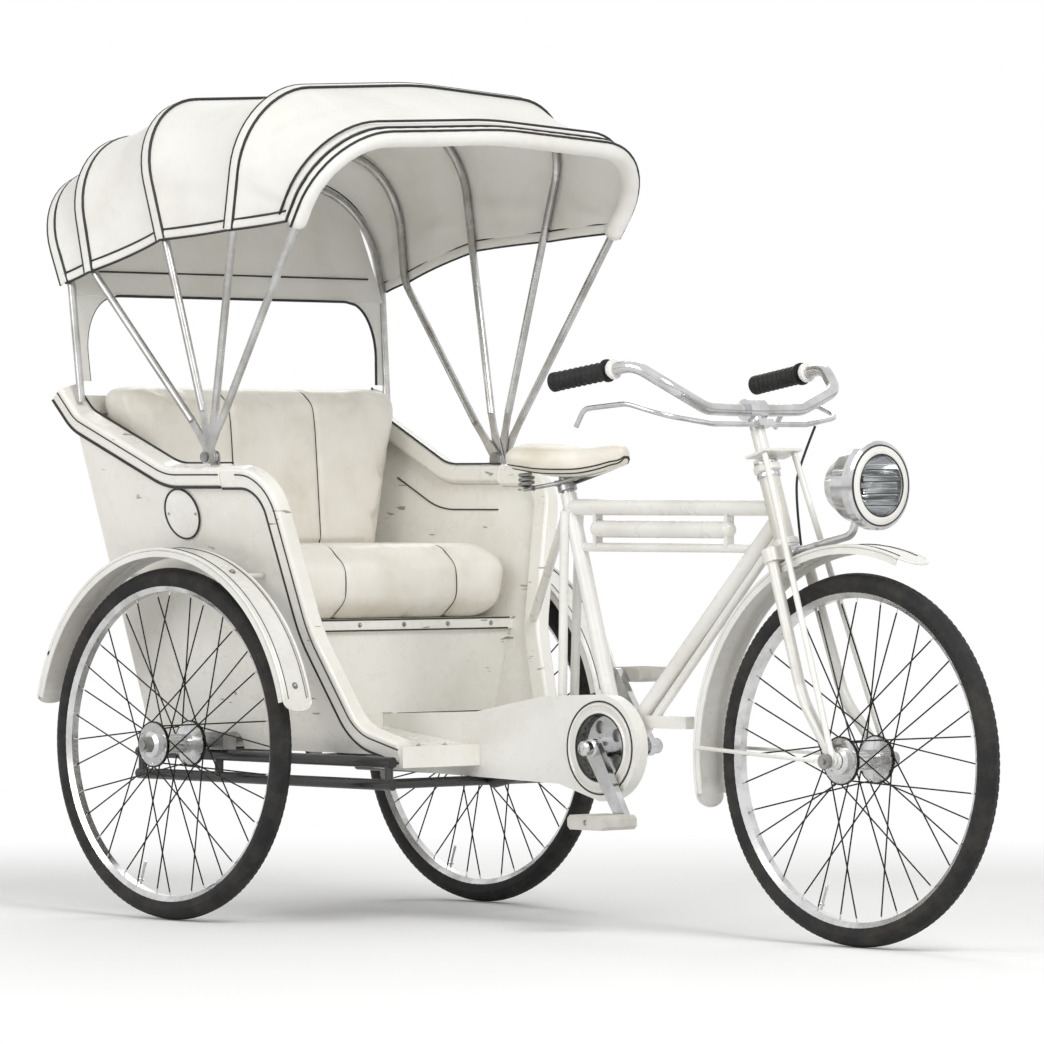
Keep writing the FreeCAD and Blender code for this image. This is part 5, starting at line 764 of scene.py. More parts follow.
for short, node, first, second, one, two, bodies, turn in PANELS:
    points = panel_surface(first, second, one, two, CLOTH_OUT)
    piece = thickened("hood_panel_" + short, points, CLOTH, None, hood_canvas, flip=True)
    attach(piece, bodies, turn)
    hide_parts(node)

# %% [markdown]
# ## Edging of the hood
# The real hood has a flat band sewn over each bow behind the front one, with dark piping in both
# its seams, and a stiffened hem along its lower edges.  Swept along the bows' and the panels' own
# lines, they turn with the cloth.

# %% Bands and piping
BAND_HALF, BAND_OUT, BAND_THICK = 0.0105, 0.0132, 0.0016
for bow, body in (("second", "second_bow"), ("third", "third_bow"), ("fourth", "chassis"),
                  ("rear", "chassis")):
    shift = -0.006 if bow == "rear" else 0.0
    across = np.linspace(shift - BAND_HALF, shift + BAND_HALF, 5)
    band = np.stack([BOW[bow].arch(BAND_OUT, ahead) for ahead in across], 1)
    band[:, 1:-1] += BOW[bow].outward()[:, None] * 0.0006       # a little fuller in its middle
    thickened(f"bow_band_{bow}", band, BAND_THICK, body, hood_canvas)
    piping = [along(BOW[bow].arch(0.0134, shift + seam), 0.0029) for seam in (-0.0118, 0.0118)]
    solid(f"bow_piping_{bow}", piping, body, black_piping, 80)
print("bands over four bows")

# %% Hems
HEM_OUT, HEM_UP = 0.0125, 0.009             # distance from the bows' line, and above the cut edge
HEM_SECTION = (0.0095, 12, 0.42)            # half its width, points, height over width
for short, node, first, second, one, two, bodies, turn in PANELS:
    surface = panel_surface(first, second, one, two, HEM_OUT, 21, lower=-HEM_UP)
    for (side_name, sign), middle in zip(SIDES, (surface[0], surface[-1])):
        name = f"{short}_{side_name}"
        way = sign * LEFT
        side, lift = frames_along(middle, way)
        hem = sweep(middle, ring_profile(*HEM_SECTION), way)
        attach(solid("hem_" + name, [hem], None, hood_canvas), bodies, turn)
        edges = [along(middle + side * seam + lift * 0.001, 0.0027) for seam in (-0.0100, 0.0100)]
        attach(solid("hem_piping_" + name, edges, None, black_piping, 80), bodies, turn)
print(2 * len(PANELS), "hems")

# %% [markdown]
# ## Roll of the front bow
# A tube of padded canvas hides the front bow, and is fuller between its tacks.  Three lines of
# piping run along it: on its front, where it meets the roof cloth, and on the cloth behind it.
# A curve with a bevel would need a control point at each change of its radius.  Here every
# ring's radius is worked out, so that it can follow the tacks.

# %% Make the roll
ROLL_RADIUS, ROLL_END = 0.0187, 0.008       # the second is the length of each rounded end
TACKS, TACK_DEPTH = 0.045, 0.0007           # their distance, and how far they draw the roll in


def padded_roll():
    """A tube along the bow's line, drawn in at the tacks by depth cos(pi run / distance)^8 and
    rounded off at both ends."""
    line = even(BOW["front"].arch(), 150)
    across = BOW["front"].ahead[None]
    away = unit(np.cross(across, np.gradient(line, axis=0)))
    run = run_of(line)
    turn = np.linspace(0, 2 * pi, 28, endpoint=False)
    puff = ROLL_RADIUS - TACK_DEPTH * np.cos(pi * run / TACKS) ** 8
    end = np.minimum(run, run[-1] - run)
    puff = puff * np.sqrt(np.clip(1 - np.clip(1 - end / ROLL_END, 0, 1) ** 2 * 0.45, 0.05, 1))
    points = (line[:, None] + puff[:, None, None] * (np.cos(turn)[None, :, None] * across[:, None]
                                                     + np.sin(turn)[None, :, None] * away[:, None]))
    return points.reshape(-1, 3), tube_faces(len(line), len(turn))


roll = solid("padded_roll", [padded_roll()], "front_bow", hood_canvas, 60)
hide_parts("hood_roll")
roll_piping = [along(BOW["front"].arch(out, a), 0.0026)
               for out, a in ((0.0185, 0.006), (0.0140, -0.0165), (0.0128, -0.042))]
solid("roll_piping", roll_piping, "front_bow", black_piping, 80)
print("roll", len(roll.data.polygons), "faces")

# %% [markdown]
# ## Rear curtain
# A sheet closes the back under the rear bow.  Its lower edge is a deep hem, and the sheet bellies
# a few millimetres between the bow and the hem.  A cloth simulation could hang it, but it is held
# on three sides, so a ruled surface with a little belly looks as real and never changes.

# %% Hang the curtain
HEM_HEIGHT = 1.255                          # the curtain's lower edge over the ground
INSIDE = 0.0085                             # how far inside the bow's line the curtain ends


def curtain():
    """Rows run from the arch's line straight down to the hem.  The belly is 4 mm times
    sin(pi v) times the cosine across, with 1.2 mm of ripple."""
    bow = BOW["rear"]
    top = bow.arch(-INSIDE)
    low_half = bow.low_half - INSIDE
    drop = (HEM_HEIGHT - bow.foot[2]) / bow.up[2]
    y = np.linspace(-low_half, low_half, 61)
    along_y, height = top[:, 1], (top - bow.foot) @ bow.up
    order = np.argsort(along_y)
    roof = np.maximum(np.interp(y, along_y[order], height[order]), 0.004)
    v = np.linspace(0, 1, 25)[:, None]
    up = roof[None] * (1 - v) + drop * v
    belly = 0.004 * np.sin(pi * v) * np.cos(y / low_half * pi / 2)[None]
    belly = belly + 0.0012 * np.sin(pi * v) * np.sin(y * 38)[None]
    return (bow.foot + up[..., None] * bow.up + belly[..., None] * bow.ahead
            + y[None, :, None] * LEFT)


points = curtain()
back_cloth = thickened("rear_curtain", points + BOW["rear"].ahead * 0.0015, CLOTH, "chassis",
                       hood_canvas)
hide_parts("hood_curtain")

# %% [markdown]
# The window under the curtain has round upper corners: the cloth runs on down both posts of the
# rear bow and narrows, by a quarter of an ellipse, to a strip along the post.

# %% Add the curtain's wings and their piping
WING_TOP, WING_LOW = 1.2585, 1.081          # heights over the ground
CORNER_WIDE, CORNER_DEEP, STRIP = 0.085, 0.120, 0.022
POST_HALF, POST_LOW = 0.411, 1.022          # half width at the post's foot, and its height
POST_SPREAD, POST_RAKE = 0.058, 0.0927      # metres outward and backward in a metre of height


def wing(side):
    """Rows go down the post.  The inner edge stands off it by wide (1 - sqrt(1 - u^2)), where u
    falls from 1 at the hem to 0, and comes forward near the hem to meet the curtain."""
    z = np.concatenate([[WING_TOP], np.linspace(HEM_HEIGHT, WING_LOW, 34)])[:, None]
    t = np.linspace(0, 1, 13)[None]
    post = POST_HALF + POST_SPREAD * (z - POST_LOW)
    u = np.clip((z - HEM_HEIGHT + CORNER_DEEP) / CORNER_DEEP, 0, 1)
    inner = post - STRIP - CORNER_WIDE * (1 - np.sqrt(1 - u * u))
    x = BOW["rear"].foot[0] + POST_RAKE * (BOW["rear"].foot[2] - z)
    x = x + (1 - t) * 0.0072 * np.exp((z - HEM_HEIGHT) / 0.06)
    return np.stack(np.broadcast_arrays(x, side * (inner * (1 - t) + post * t), z), 2)


edges = {}
for side_name, side in SIDES:
    shape = wing(side)
    edges[side_name] = shape[1:, 0]
    piece = thickened("curtain_wing_" + side_name, shape, 0.0026, "chassis", hood_canvas)
hem_line = points[-1] + BOW["rear"].ahead * 0.002
inside = np.abs(hem_line[:, 1]) < np.abs(edges["left"][0, 1])
around = np.concatenate([edges["right"][::-1], hem_line[inside], edges["left"]])
upper = (points[-1] + BOW["rear"].up * 0.052)[2:-2] + BOW["rear"].ahead * 0.0042
solid("curtain_piping", [along(even(around, 200), 0.0028, FORWARD),
                         along(upper, 0.0019, FORWARD)], "chassis", black_piping, 80)
print("window corners", CORNER_WIDE, "by", CORNER_DEEP, "m")

# %% [markdown]
# ## Straps under the roof
# Two webbing straps keep the bows apart inside the cloth, one under each shoulder.  Each is made
# in four lengths, one under each panel, which turn as their panels do.  A strap's line is one row
# of a panel worked out a little further in, so it can't come through the cloth.

# %% Make the straps
STRAP_OUT, STRAP_SAG = -0.0098, 0.045       # inside the bows' line, and a flatter trough
for short, node, first, second, one, two, bodies, turn in PANELS:
    surface = panel_surface(first, second, 0.0, 0.0, STRAP_OUT, 21, STRAP_SAG)
    away = BOW[first].outward() + BOW[second].outward()
    for side_name, row in (("right", 27), ("left", -28)):
        ribbon = along(surface[row], 0.0095, away[row], 12, 0.12)
        strap = solid(f"strap_{short}_{side_name}", [ribbon], None, black_piping, 80)
        attach(strap, bodies, turn)
print("straps under the roof")

# %% [markdown]
# ## Cushions
# The real seat and back are leathercloth covers over springs and fibre: crowned in the middle,
# drawn in at the corners, and flat where they rest on a board.  Each starts as a rounded block a
# little too small.  A remesh gives it even cells, a cloth simulation with air pressure and no
# gravity blows it up, and its seams are pressed in afterwards.

# %% Cushion blocks
TILT = radians(13.8)                        # the sides lean outward as they rise
SIDE_HALF, SIDE_HEIGHT = 0.390, 0.900       # a side's half width at that height
SEAT_WALL, BACK_WALL = 0.010, 0.033         # a side's thickness, and an armrest's inside it


def tub_inside(z, wall=SEAT_WALL):
    """Half of the tub's inside width at a height."""
    return SIDE_HALF - (SIDE_HEIGHT - z) * tan(TILT) - wall


def tub_rear(z, ahead):
    """The station of the tub's leaning back at a height, and as far ahead of it as said."""
    return -0.262 - 0.056 * (z - 0.338) / 0.714 + ahead


def block(low, high, rear, front, half, round_front, round_end, count=48):
    """Sections across the vehicle: each is a superellipse in the XZ plane whose rear and front
    edges follow the heights, and the sections shrink towards both ends by (1 - |s|^p)^(1/p)."""
    s = np.sin(np.linspace(-pi / 2, pi / 2, count))
    shrink = (1 - np.abs(s) ** round_end) ** (1 / round_end)
    shrink = np.clip(shrink, 0.02, 1)
    turn = np.linspace(0, 2 * pi, 64, endpoint=False)
    c, d = np.cos(turn), np.sin(turn)
    power = np.where(c > 0, round_front, 9.0)
    size = (np.abs(c) ** power + np.abs(d) ** power) ** (-1 / power)
    w = 0.5 + 0.5 * size * c                    # 0 at the rear, 1 at the front
    h = 0.5 + 0.5 * size * d
    w = 0.5 + (w[None] - 0.5) * shrink[:, None]
    h = 0.5 + (h[None] - 0.5) * (0.25 + 0.75 * shrink[:, None])
    z = low + (high - low) * h
    x = rear(z) * (1 - w) + front(z) * w
    y = s[:, None] * half(z)
    return np.stack([AXLE_X + x, y, z], 2).reshape(-1, 3), tube_faces(count, len(turn))


print("a seat is", round(2 * tub_inside(0.7), 3), "m wide at most")


# %% Blow up a block
def frozen(piece):
    """The piece's shape after its modifiers, as a mesh of its own."""
    view = bpy.context.evaluated_depsgraph_get()
    return bpy.data.meshes.new_from_object(piece.evaluated_get(view))


def read(mesh, what="co"):
    """The points of a mesh, or its normals, as an (n, 3) array."""
    flat = np.empty(len(mesh.vertices) * 3)
    mesh.vertices.foreach_get(what, flat)
    return flat.reshape(-1, 3)


def place(mesh, points):
    """Moves the points of a mesh to an (n, 3) array of places."""
    mesh.vertices.foreach_set("co", points.ravel())
    mesh.update()


FRAMES, VOXEL, PRESSURE = 20, 0.008, 4.0    # of the simulation, of the remesh, of the air


def stuffed(name, shape, cap, bounds_of, material, body):
    """A block blown up by cloth simulation: no point moves further than cap, and bounds_of
    keeps the result inside the room it has."""
    piece = link(name, outward(mesh_of(name, *shape)), None, material)
    remesh = piece.modifiers.new("even", "REMESH")
    remesh.mode, remesh.voxel_size = "VOXEL", VOXEL
    piece.data = frozen(piece)
    piece.modifiers.clear()
    start = read(piece.data)
    cloth = piece.modifiers.new("air", "CLOTH")
    cloth.settings.quality = 4
    cloth.settings.mass = 0.4
    cloth.settings.tension_stiffness = cloth.settings.compression_stiffness = 18
    cloth.settings.shear_stiffness = 8
    cloth.settings.bending_stiffness = 0.6
    cloth.settings.use_pressure = True
    cloth.settings.uniform_pressure_force = PRESSURE
    cloth.settings.effector_weights.gravity = 0
    cloth.point_cache.frame_start, cloth.point_cache.frame_end = 1, FRAMES
    for frame_now in range(1, FRAMES + 1):
        scene.frame_set(frame_now)
    piece.data = frozen(piece)
    piece.modifiers.clear()
    move = read(piece.data) - start
    far = np.linalg.norm(move, axis=1)[:, None]
    place(piece.data, start + move * np.minimum(1, cap / np.maximum(far, 1e-9)))
    scene.frame_set(1)
    place(piece.data, bounds_of(read(piece.data)))
    finer = piece.modifiers.new("finer", "SUBSURF")
    finer.levels = finer.render_levels = 1
    piece.data = frozen(piece)
    piece.modifiers.clear()
    piece.data.materials.clear()
    piece.data.materials.append(material)
    piece.data.shade_smooth()
    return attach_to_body(piece, body)


print("simulation of", FRAMES, "frames")


# %% Press in a seam
def pressed_seam(piece, y, depth, width=0.007):
    """Every point sinks along its normal by depth times exp(-(distance / width) squared)."""
    points = read(piece.data)
    share = np.exp(-((points[:, 1] - y) / width) ** 2)
    place(piece.data, points - read(piece.data, "normal") * (depth * share)[:, None])


def seam_cord(piece, station, y, z, turns):
    """A cord on the surface: rays leave the cushion's middle in a fan of angles, in the plane
    that the seam lies in, and the cord runs through the points where they meet the cover."""
    line = []
    for turn in turns:
        way = Vector((cos(turn), 0, sin(turn)))
        hit, where, _, _ = piece.ray_cast(Vector((AXLE_X + station, y, z)), way)
        if hit:
            line.append(where)
    return along(even(np.array(line), 60), 0.0014, (0, 1, 0.01))


print("seams ready")

# %% Seat cushion
SEAT_LOW, SEAT_TOP = 0.6003, 0.7483
SEAT_SEAMS = (-0.151, 0.151)                # the seams' y
SEAT_REAR = 0.1333                          # the seat starts this far ahead of the tub's back


def seat_bounds(points):
    """Flat on its board, clear of both sides and of the back cushion."""
    p = points.copy()
    p[:, 2] = np.clip(p[:, 2], SEAT_LOW + 0.0005, SEAT_TOP + 0.002)
    room = tub_inside(p[:, 2]) - 0.003
    p[:, 1] = np.clip(p[:, 1], -room, room)
    p[:, 0] = np.clip(p[:, 0], AXLE_X + tub_rear(p[:, 2], SEAT_REAR) + 0.001, AXLE_X + 0.2465)
    return p


seat_shape = block(SEAT_LOW + 0.004, SEAT_TOP - 0.010, lambda z: tub_rear(z, SEAT_REAR) + 0.006,
                   lambda z: 0.232 + 0 * z, lambda z: tub_inside(z) - 0.012, 4.2, 9)
seat = stuffed("seat_pad", seat_shape, 0.014, seat_bounds, hide, "chassis")
for y in SEAT_SEAMS:
    pressed_seam(seat, y, 0.0045)
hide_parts("seat_cushion")
fan = np.linspace(radians(-60), radians(165), 70)
solid("seat_seams", [seam_cord(seat, 0.05, y, 0.674, fan) for y in SEAT_SEAMS],
      "chassis", black_piping, 80)
print("seat", len(seat.data.polygons), "faces")

# %% Back cushion
BACK_TOP = 1.094
BACK_SEAMS = (-0.115, 0.115)                # the seams' y


def back_bounds(points):
    """Clear of the armrests and the tub's back, and behind the seat cushion up to its top."""
    p = points.copy()
    p[:, 2] = np.clip(p[:, 2], SEAT_LOW + 0.0005, BACK_TOP + 0.003)
    room = tub_inside(p[:, 2], BACK_WALL) - 0.002
    p[:, 1] = np.clip(p[:, 1], -room, room)
    ahead = np.where(p[:, 2] < SEAT_TOP + 0.004, 0.1328, 0.150)
    p[:, 0] = np.clip(p[:, 0], AXLE_X + tub_rear(p[:, 2], 0.0112),
                      AXLE_X + tub_rear(p[:, 2], 0) + ahead)
    return p


back_shape = block(SEAT_LOW + 0.004, BACK_TOP - 0.008, lambda z: tub_rear(z, 0.020),
                   lambda z: tub_rear(z, 0.122), lambda z: tub_inside(z, BACK_WALL) - 0.010,
                   5.0, 10)
back = stuffed("back_pad", back_shape, 0.018, back_bounds, hide, "chassis")
for y in BACK_SEAMS:
    pressed_seam(back, y, 0.005)
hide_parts("back_cushion")
fan = np.linspace(radians(-58), radians(118), 80)
solid("back_seams", [seam_cord(back, -0.235, y, 0.86, fan) for y in BACK_SEAMS],
      "chassis", black_piping, 80)
print("back", len(back.data.polygons), "faces")

# %% [markdown]
# ## Tub trim
# The tub is painted ply and sheet metal.  Where two pieces meet, the maker nails a black bead
# over the joint, and the curved front members carry the same bead on their outer faces.  The
# beads are round cords swept along the pieces' own lines in the plane of each leaning side.

# %% Lines in the sides' planes
def in_plane(side, flat, out):
    """Points (station, height) of a side's leaning plane, moved out of it by out."""
    v = (flat[:, 1] - SIDE_HEIGHT) / cos(TILT)
    y = side * (SIDE_HALF + out * cos(TILT) + v * sin(TILT))
    z = SIDE_HEIGHT - out * sin(TILT) + v * cos(TILT)
    return np.stack([AXLE_X + flat[:, 0], y, z], 1)


def offset_line(flat, shift):
    """A plane line moved to its left by shift, along its normals."""
    way = unit(np.gradient(flat, axis=0))
    return flat + np.stack([-way[:, 1], way[:, 0]], 1) * shift


ARM_LINE = rounded_line([(-0.338, 1.058), (-0.298, 1.002), (-0.045, 0.888), (0.118, 0.888)],
                        (0.060, 0.150), 14, 14)
MEMBER_LINE = rounded_line([(0.119, 0.884), (0.245, 0.884), (0.287, 0.575), (0.378, 0.376),
                            (0.4972, 0.3445)], (0.080, 0.260, 0.095), 10, 14)


# %% Beads, and the rims of the discs
BEADS = (  # line, shift in the side's plane, distance out of it, radius, first station
    (ARM_LINE, -0.0195, 0.0165, 0.0030, -1), (ARM_LINE, 0.0060, 0.0182, 0.0016, -1),
    (ARM_LINE, 0.0190, -0.0275, 0.0022, -1), (MEMBER_LINE, -0.0190, 0.0120, 0.0028, -1),
    (MEMBER_LINE[8:], 0.0085, 0.0134, 0.0016, -1), (ARM_LINE, -0.072, -0.0108, 0.0016, -0.215))
DISC = np.array([[-0.031, 0.812]])          # the blank disc's middle: station and height
SCREW = ((0.0002, 0.0), (0.0002, 0.0032), (0.0012, 0.0030), (0.0018, 0.0016), (0.0019, 0.0))


def side_bead(side, flat, shift, out, radius, first):
    """A round bead along a moved line, from its first station on."""
    line = offset_line(flat, shift)
    return along(even(in_plane(side, line[line[:, 0] > first], out), 90), radius, (0, side, 0.25))


for side_name, side in SIDES:
    beads = [side_bead(side, *row) for row in BEADS]
    solid("tub_beads_" + side_name, beads, "chassis", black_piping, 80)
    middle = in_plane(side, DISC, 0.0030)[0]
    out = in_plane(side, DISC, 0.0130)[0] - middle
    out /= np.linalg.norm(out)
    up = np.array([0, side * sin(TILT), cos(TILT)])
    rim = along(circle(middle, 0.0512, FORWARD, up, 72), 0.0021, out, closed=True)
    solid("disc_rim_" + side_name, [rim], "chassis", black_piping, 80)
    screws = [turned(SCREW, middle + out * -0.0005 + x * FORWARD, out, 14) for x in (-0.041, 0.041)]
    solid("disc_screws_" + side_name, screws, "chassis", steel)
print("beads and disc rims on both sides")

# %% [markdown]
# ## Mudguards
# A pressed guard has its long edges rolled over a wire, and a painted line runs beside each roll.
# Both are cords swept along arcs round the wheel's own axle: a painted line in a texture would
# need a map of the guard's surface, and a roll has to show in the outline.

# %% Rolled edges and lines on the guards
REAR_GUARD = ("chassis", 0.391, ((14, -1, 0.020), (167, 1, 0.014)))
GUARDS = (  # name, tyre, body, radius, and for each end its angle, the way out, the tongue's length
    ("rear_right", "rear_tyre_right", *REAR_GUARD), ("rear_left", "rear_tyre_left", *REAR_GUARD),
    ("front", "front_tyre", "fork", 0.405, ((71, -1, 0.034), (191, 1, 0.024))))


def guard_arcs(centre, radius, ends, short, half):
    """Two arcs round an axle, half to either side, that stop short degrees before the ends."""
    turn = np.radians(np.linspace(ends[0][0] + short, ends[1][0] - short, 90))
    return [np.stack([centre[0] + radius * np.cos(turn), 0 * turn + centre[1] + y,
                      centre[2] + radius * np.sin(turn)], 1) for y in (-half, half)]


for name, node, body, radius, ends in GUARDS:
    centre = middle_of(node)
    lines = guard_arcs(centre, radius + 0.0004, ends, 0.6, 0.0235)
    solid("guard_lines_" + name, [along(line, 0.0011, count=6, flat=0.6) for line in lines],
          body, black_piping, 80)
    rolls = guard_arcs(centre, radius - 0.0015, ends, 0.3, 0.0340)
    solid("guard_rolls_" + name, [along(line, 0.0032) for line in rolls], body, frame_paint, 80)
print("guards rolled and lined")

# %% [markdown]
# The maker rounds a guard's ends.  The frame's guards end square and stay as they are, so each
# end gets a tongue on the guard's own arc: half an ellipse, its half width sqrt(1 - s^2).

# %% Rounded ends of the guards
def tongue(centre, radius, angle, turn, long, half=0.0352):
    """Rows go along the arc from the guard's end by long metres, towards turn (1 or -1)."""
    s = np.sin(np.linspace(0, pi / 2 - 0.05, 16))[:, None]
    t = np.linspace(-1, 1, 15)[None]
    at = radians(angle) + turn * (s * long - 0.006 * (s == 0)) / radius
    out = radius - 0.0012 * t ** 6
    x, z = centre[0] + out * np.cos(at), centre[2] + out * np.sin(at)
    y = centre[1] + half * np.sqrt(1 - s * s) * t
    return np.stack(np.broadcast_arrays(x, y, z), 2)


for name, node, body, radius, ends in GUARDS:
    for index, (angle, turn, long) in enumerate(ends):
        shape = tongue(middle_of(node), radius + 0.0002, angle, turn, long)
        thickened(f"guard_end_{name}_{index}", shape, 0.0022, body, frame_paint, flip=turn > 0)
        rim = even(np.concatenate([shape[:, 0], shape[::-1, -1]]), 60)
        solid(f"guard_end_roll_{name}_{index}", [along(rim, 0.0021, spoke_way(angle))],
              body, frame_paint, 80)
print("six rounded ends")

# %% [markdown]
# A black strip clasps each rear guard near its rear end.  It goes straight across and bends down
# over both edges, so its height is worked out from the distance to the middle.

# %% Clips over the rear guards
CLIP_HALF, CLIP_ANGLE = 0.0375, 153
y = np.linspace(-CLIP_HALF, CLIP_HALF, 25)[:, None]
rise = 0.3925 - 0.006 * (np.abs(y) / CLIP_HALF) ** 8       # the ends bend down over the edges
bent = rise * spoke_way(CLIP_ANGLE)
clips = [along(middle_of(node) + bent + y * LEFT, 0.0055, spoke_way(CLIP_ANGLE), 10, 0.28)
         for node in ("rear_tyre_right", "rear_tyre_left")]
solid("guard_clips", clips, "chassis", black_piping, 60)
print("a clip over each rear guard")

# %% [markdown]
# Beads also cross the front of the seat box.  The lower two stop at the chain's tunnel.

# %% Beads across the seat box
KICK = AXLE_X + 0.2231                      # just ahead of the seat box's front
cross = []
for z, half, first in ((0.5985, 0.292, -1), (0.5770, 0.287, -1), (0.4085, 0.246, -0.020),
                       (0.3870, 0.240, -0.020)):            # height, half length, lowest y
    line = np.stack([np.full(40, KICK), np.linspace(-half, half, 40), np.full(40, z)], 1)
    cross.append(along(line[line[:, 1] > first], 0.0017, UP))
solid("seat_box_beads", cross, "chassis", black_piping, 80)
print(len(cross), "beads across the seat box")

# %% [markdown]
# ## Saddle
# A sprung saddle has a thick hide drawn over padding: broad and level at the tail, narrow at the
# nose, with two rows of black edging where the cover is lapped under.  Each section across it is
# a superellipse, and the sections' width, depth and height are smooth functions of the length.

# %% Make the saddle cover
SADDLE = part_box("saddle")
SADDLE_TAIL, SADDLE_LONG = SADDLE[0][0], SADDLE[1][0] - SADDLE[0][0]
SADDLE_TOP = SADDLE[1][2] - 0.002
SECTIONS = [  # share of the length, half width, depth, height of the top over the level
    (0.000, 0.050, 0.020, -0.020), (0.012, 0.066, 0.034, -0.010), (0.045, 0.083, 0.050, -0.003),
    (0.110, 0.094, 0.058, 0.0015), (0.22, 0.0915, 0.0605, 0.000), (0.34, 0.080, 0.0615, -0.0035),
    (0.48, 0.056, 0.060, -0.006), (0.62, 0.0365, 0.057, -0.007), (0.78, 0.0265, 0.051, -0.005),
    (0.90, 0.022, 0.045, -0.0025), (0.96, 0.018, 0.039, -0.0045), (0.988, 0.013, 0.029, -0.009),
    (1.000, 0.007, 0.016, -0.014)]


def saddle_points(section, turn):
    """y = half |cos|^(2/2.6), z = top - depth / 2 + depth / 2 |sin|^(2/2.4), signs kept, less a
    dip of 4 mm along the middle."""
    c, s = np.cos(turn), np.sin(turn)
    across = np.sign(c) * np.abs(c) ** (2 / 2.6)
    height = np.sign(s) * np.abs(s) ** (2 / 2.4)
    share, half, depth, lift = [section[:, k:k + 1] for k in range(4)]
    dip = 0.004 * np.exp(-((share - 0.45) / 0.2) ** 2)
    dip = dip * np.exp(-(across / 0.35) ** 2) * (height > 0)
    z = SADDLE_TOP + lift - depth / 2 + depth / 2 * height - dip
    return np.stack(np.broadcast_arrays(SADDLE_TAIL + 0.001 + (SADDLE_LONG - 0.002) * share,
                                        half * across, z), 2)


rows = smooth_line(SECTIONS, 6)
cover = saddle_points(rows, np.linspace(0, 2 * pi, 56, endpoint=False)[None])
shape = (cover.reshape(-1, 3), tube_faces(*cover.shape[:2]))
saddle = solid("saddle_cover", [shape], "chassis", saddle_hide, 60)
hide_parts("saddle")
edging = []
for angle in (-0.42, -0.78):
    right = saddle_points(rows, np.array([[pi - angle]]))[:, 0]
    left = saddle_points(rows, np.array([[angle]]))[:, 0]
    loop = np.concatenate([left, right[::-1]])
    edging.append(along(even(loop, 160)[:-1], 0.0016, UP, closed=True))
solid("saddle_edging", edging, "chassis", black_piping, 80)
print("saddle", len(cover), "sections")

# %% [markdown]
# ## Lamp glass
# Pressed lamp glass is ribbed so that it spreads the beam: here by four level bars on a shallow
# dome.  A mirror bowl and a small bulb stand behind it.  The glass is a grid of level rows with
# its bars worked in, because booleans on a round dome leave long thin faces that shade badly.

# %% Make the lens, mirror and bulb
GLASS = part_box("lamp_glass")
lens_at = np.array([GLASS[1][0], 0, (GLASS[0][2] + GLASS[1][2]) / 2])
lens_radius = (GLASS[1][2] - GLASS[0][2]) / 2 - 0.0004
BARS = (-0.45, -0.15, 0.15, 0.45)           # heights of the bars, in lens radii


def lens():
    """Rows of level chords: the front bulges as 5 mm (1 - y^2 - z^2), and four bars 10 mm high
    stand 3 mm proud in the middle of it, with sides one row steep; the back is flat."""
    rows, columns = 151, 41
    z = np.sin(np.linspace(-1, 1, rows) * (pi / 2 - 0.06))[:, None]
    y = np.sqrt(1 - z * z) * np.sin(np.linspace(-pi / 2, pi / 2, columns))[None]
    z = z + 0 * y
    away = np.min([np.abs(z - bar) for bar in BARS], axis=0)
    bars = np.clip((0.085 - away) / 0.012, 0, 1) * (np.abs(y) < 0.66)
    front = -0.0040 + 0.0050 * (1 - y * y - z * z) + 0.0030 * bars
    shape = np.stack([lens_at[0] + front, lens_radius * y, lens_at[2] + lens_radius * z], 2)
    back = shape.copy()
    back[..., 0] = lens_at[0] - 0.0060
    points = np.concatenate([shape.reshape(-1, 3), back.reshape(-1, 3)])
    return points, slab_faces(rows, columns)


lens_piece = solid("ribbed_lens", [lens()], "fork", lens_glass, 30)
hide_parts("lamp_glass")


def ring_of(profile, centre, axis, count=72):
    """A closed profile turned about an axis: turned() without its caps, and with the profile's
    last point joined to its first."""
    points, (sides, _) = turned(profile, centre, axis, count)
    k, last = np.arange(count), (len(profile) - 1) * count
    after = (k + 1) % count
    return points, [sides, np.stack([k, after, last + after, last + k], 1)]


t = np.linspace(0.12, 1, 24)
bowl = np.stack([-0.010 - 0.070 * (1 - t * t), 0.066 * t], 1)
mirror = np.concatenate([bowl, bowl[::-1] - (0.0012, 0.0004)])
solid("lamp_mirror", [ring_of(mirror, lens_at, FORWARD)], "fork", chrome, 60)
bezel = [(-0.0035, 0.0590), (0.0022, 0.0585), (0.0040, 0.0600), (0.0042, 0.0650), (0.0030, 0.0700),
         (0.0006, 0.0756), (-0.0040, 0.0756)]
solid("lamp_bezel", [ring_of(bezel, lens_at, FORWARD)], "fork", frame_paint, 50)
lines = [along(circle(lens_at + x * FORWARD, radius, LEFT, UP, 96), 0.0014, FORWARD, closed=True)
         for x, radius in ((0.0030, 0.0585), (0.0012, 0.0752))]
# Painted shadow: a black cord lies along the lower edge of each bar of the lens, where the bar's
# shade would fall.
for bar in BARS:                            # a dark line under each bar of the lens
    half = 0.9 * sqrt(0.0575 ** 2 - (bar * lens_radius) ** 2)
    y = np.linspace(-half, half, 12)
    line = lens_at + np.stack([0 * y + 0.0030, y, 0 * y + bar * lens_radius - 0.0042], 1)
    lines.append(along(line, 0.0011, FORWARD))
solid("lamp_rings_and_bar_shade", lines, "fork", black_piping, 80)
bulb = [(-0.070, 0.004), (-0.060, 0.0042), (-0.050, 0.0080), (-0.042, 0.0092),
        (-0.034, 0.0080), (-0.029, 0.0040), (-0.0275, 0.001)]
solid("lamp_bulb", [turned(bulb, lens_at, FORWARD, 24)], "fork", disc_paint, 60)
print("lens radius", round(lens_radius, 4))

# %% [markdown]
# ## Handlebar fittings
# Each rubber grip ends in a turned collar, and three bands clasp the head of the frame.  All are
# short profiles turned about the grip's or the steering's axis.

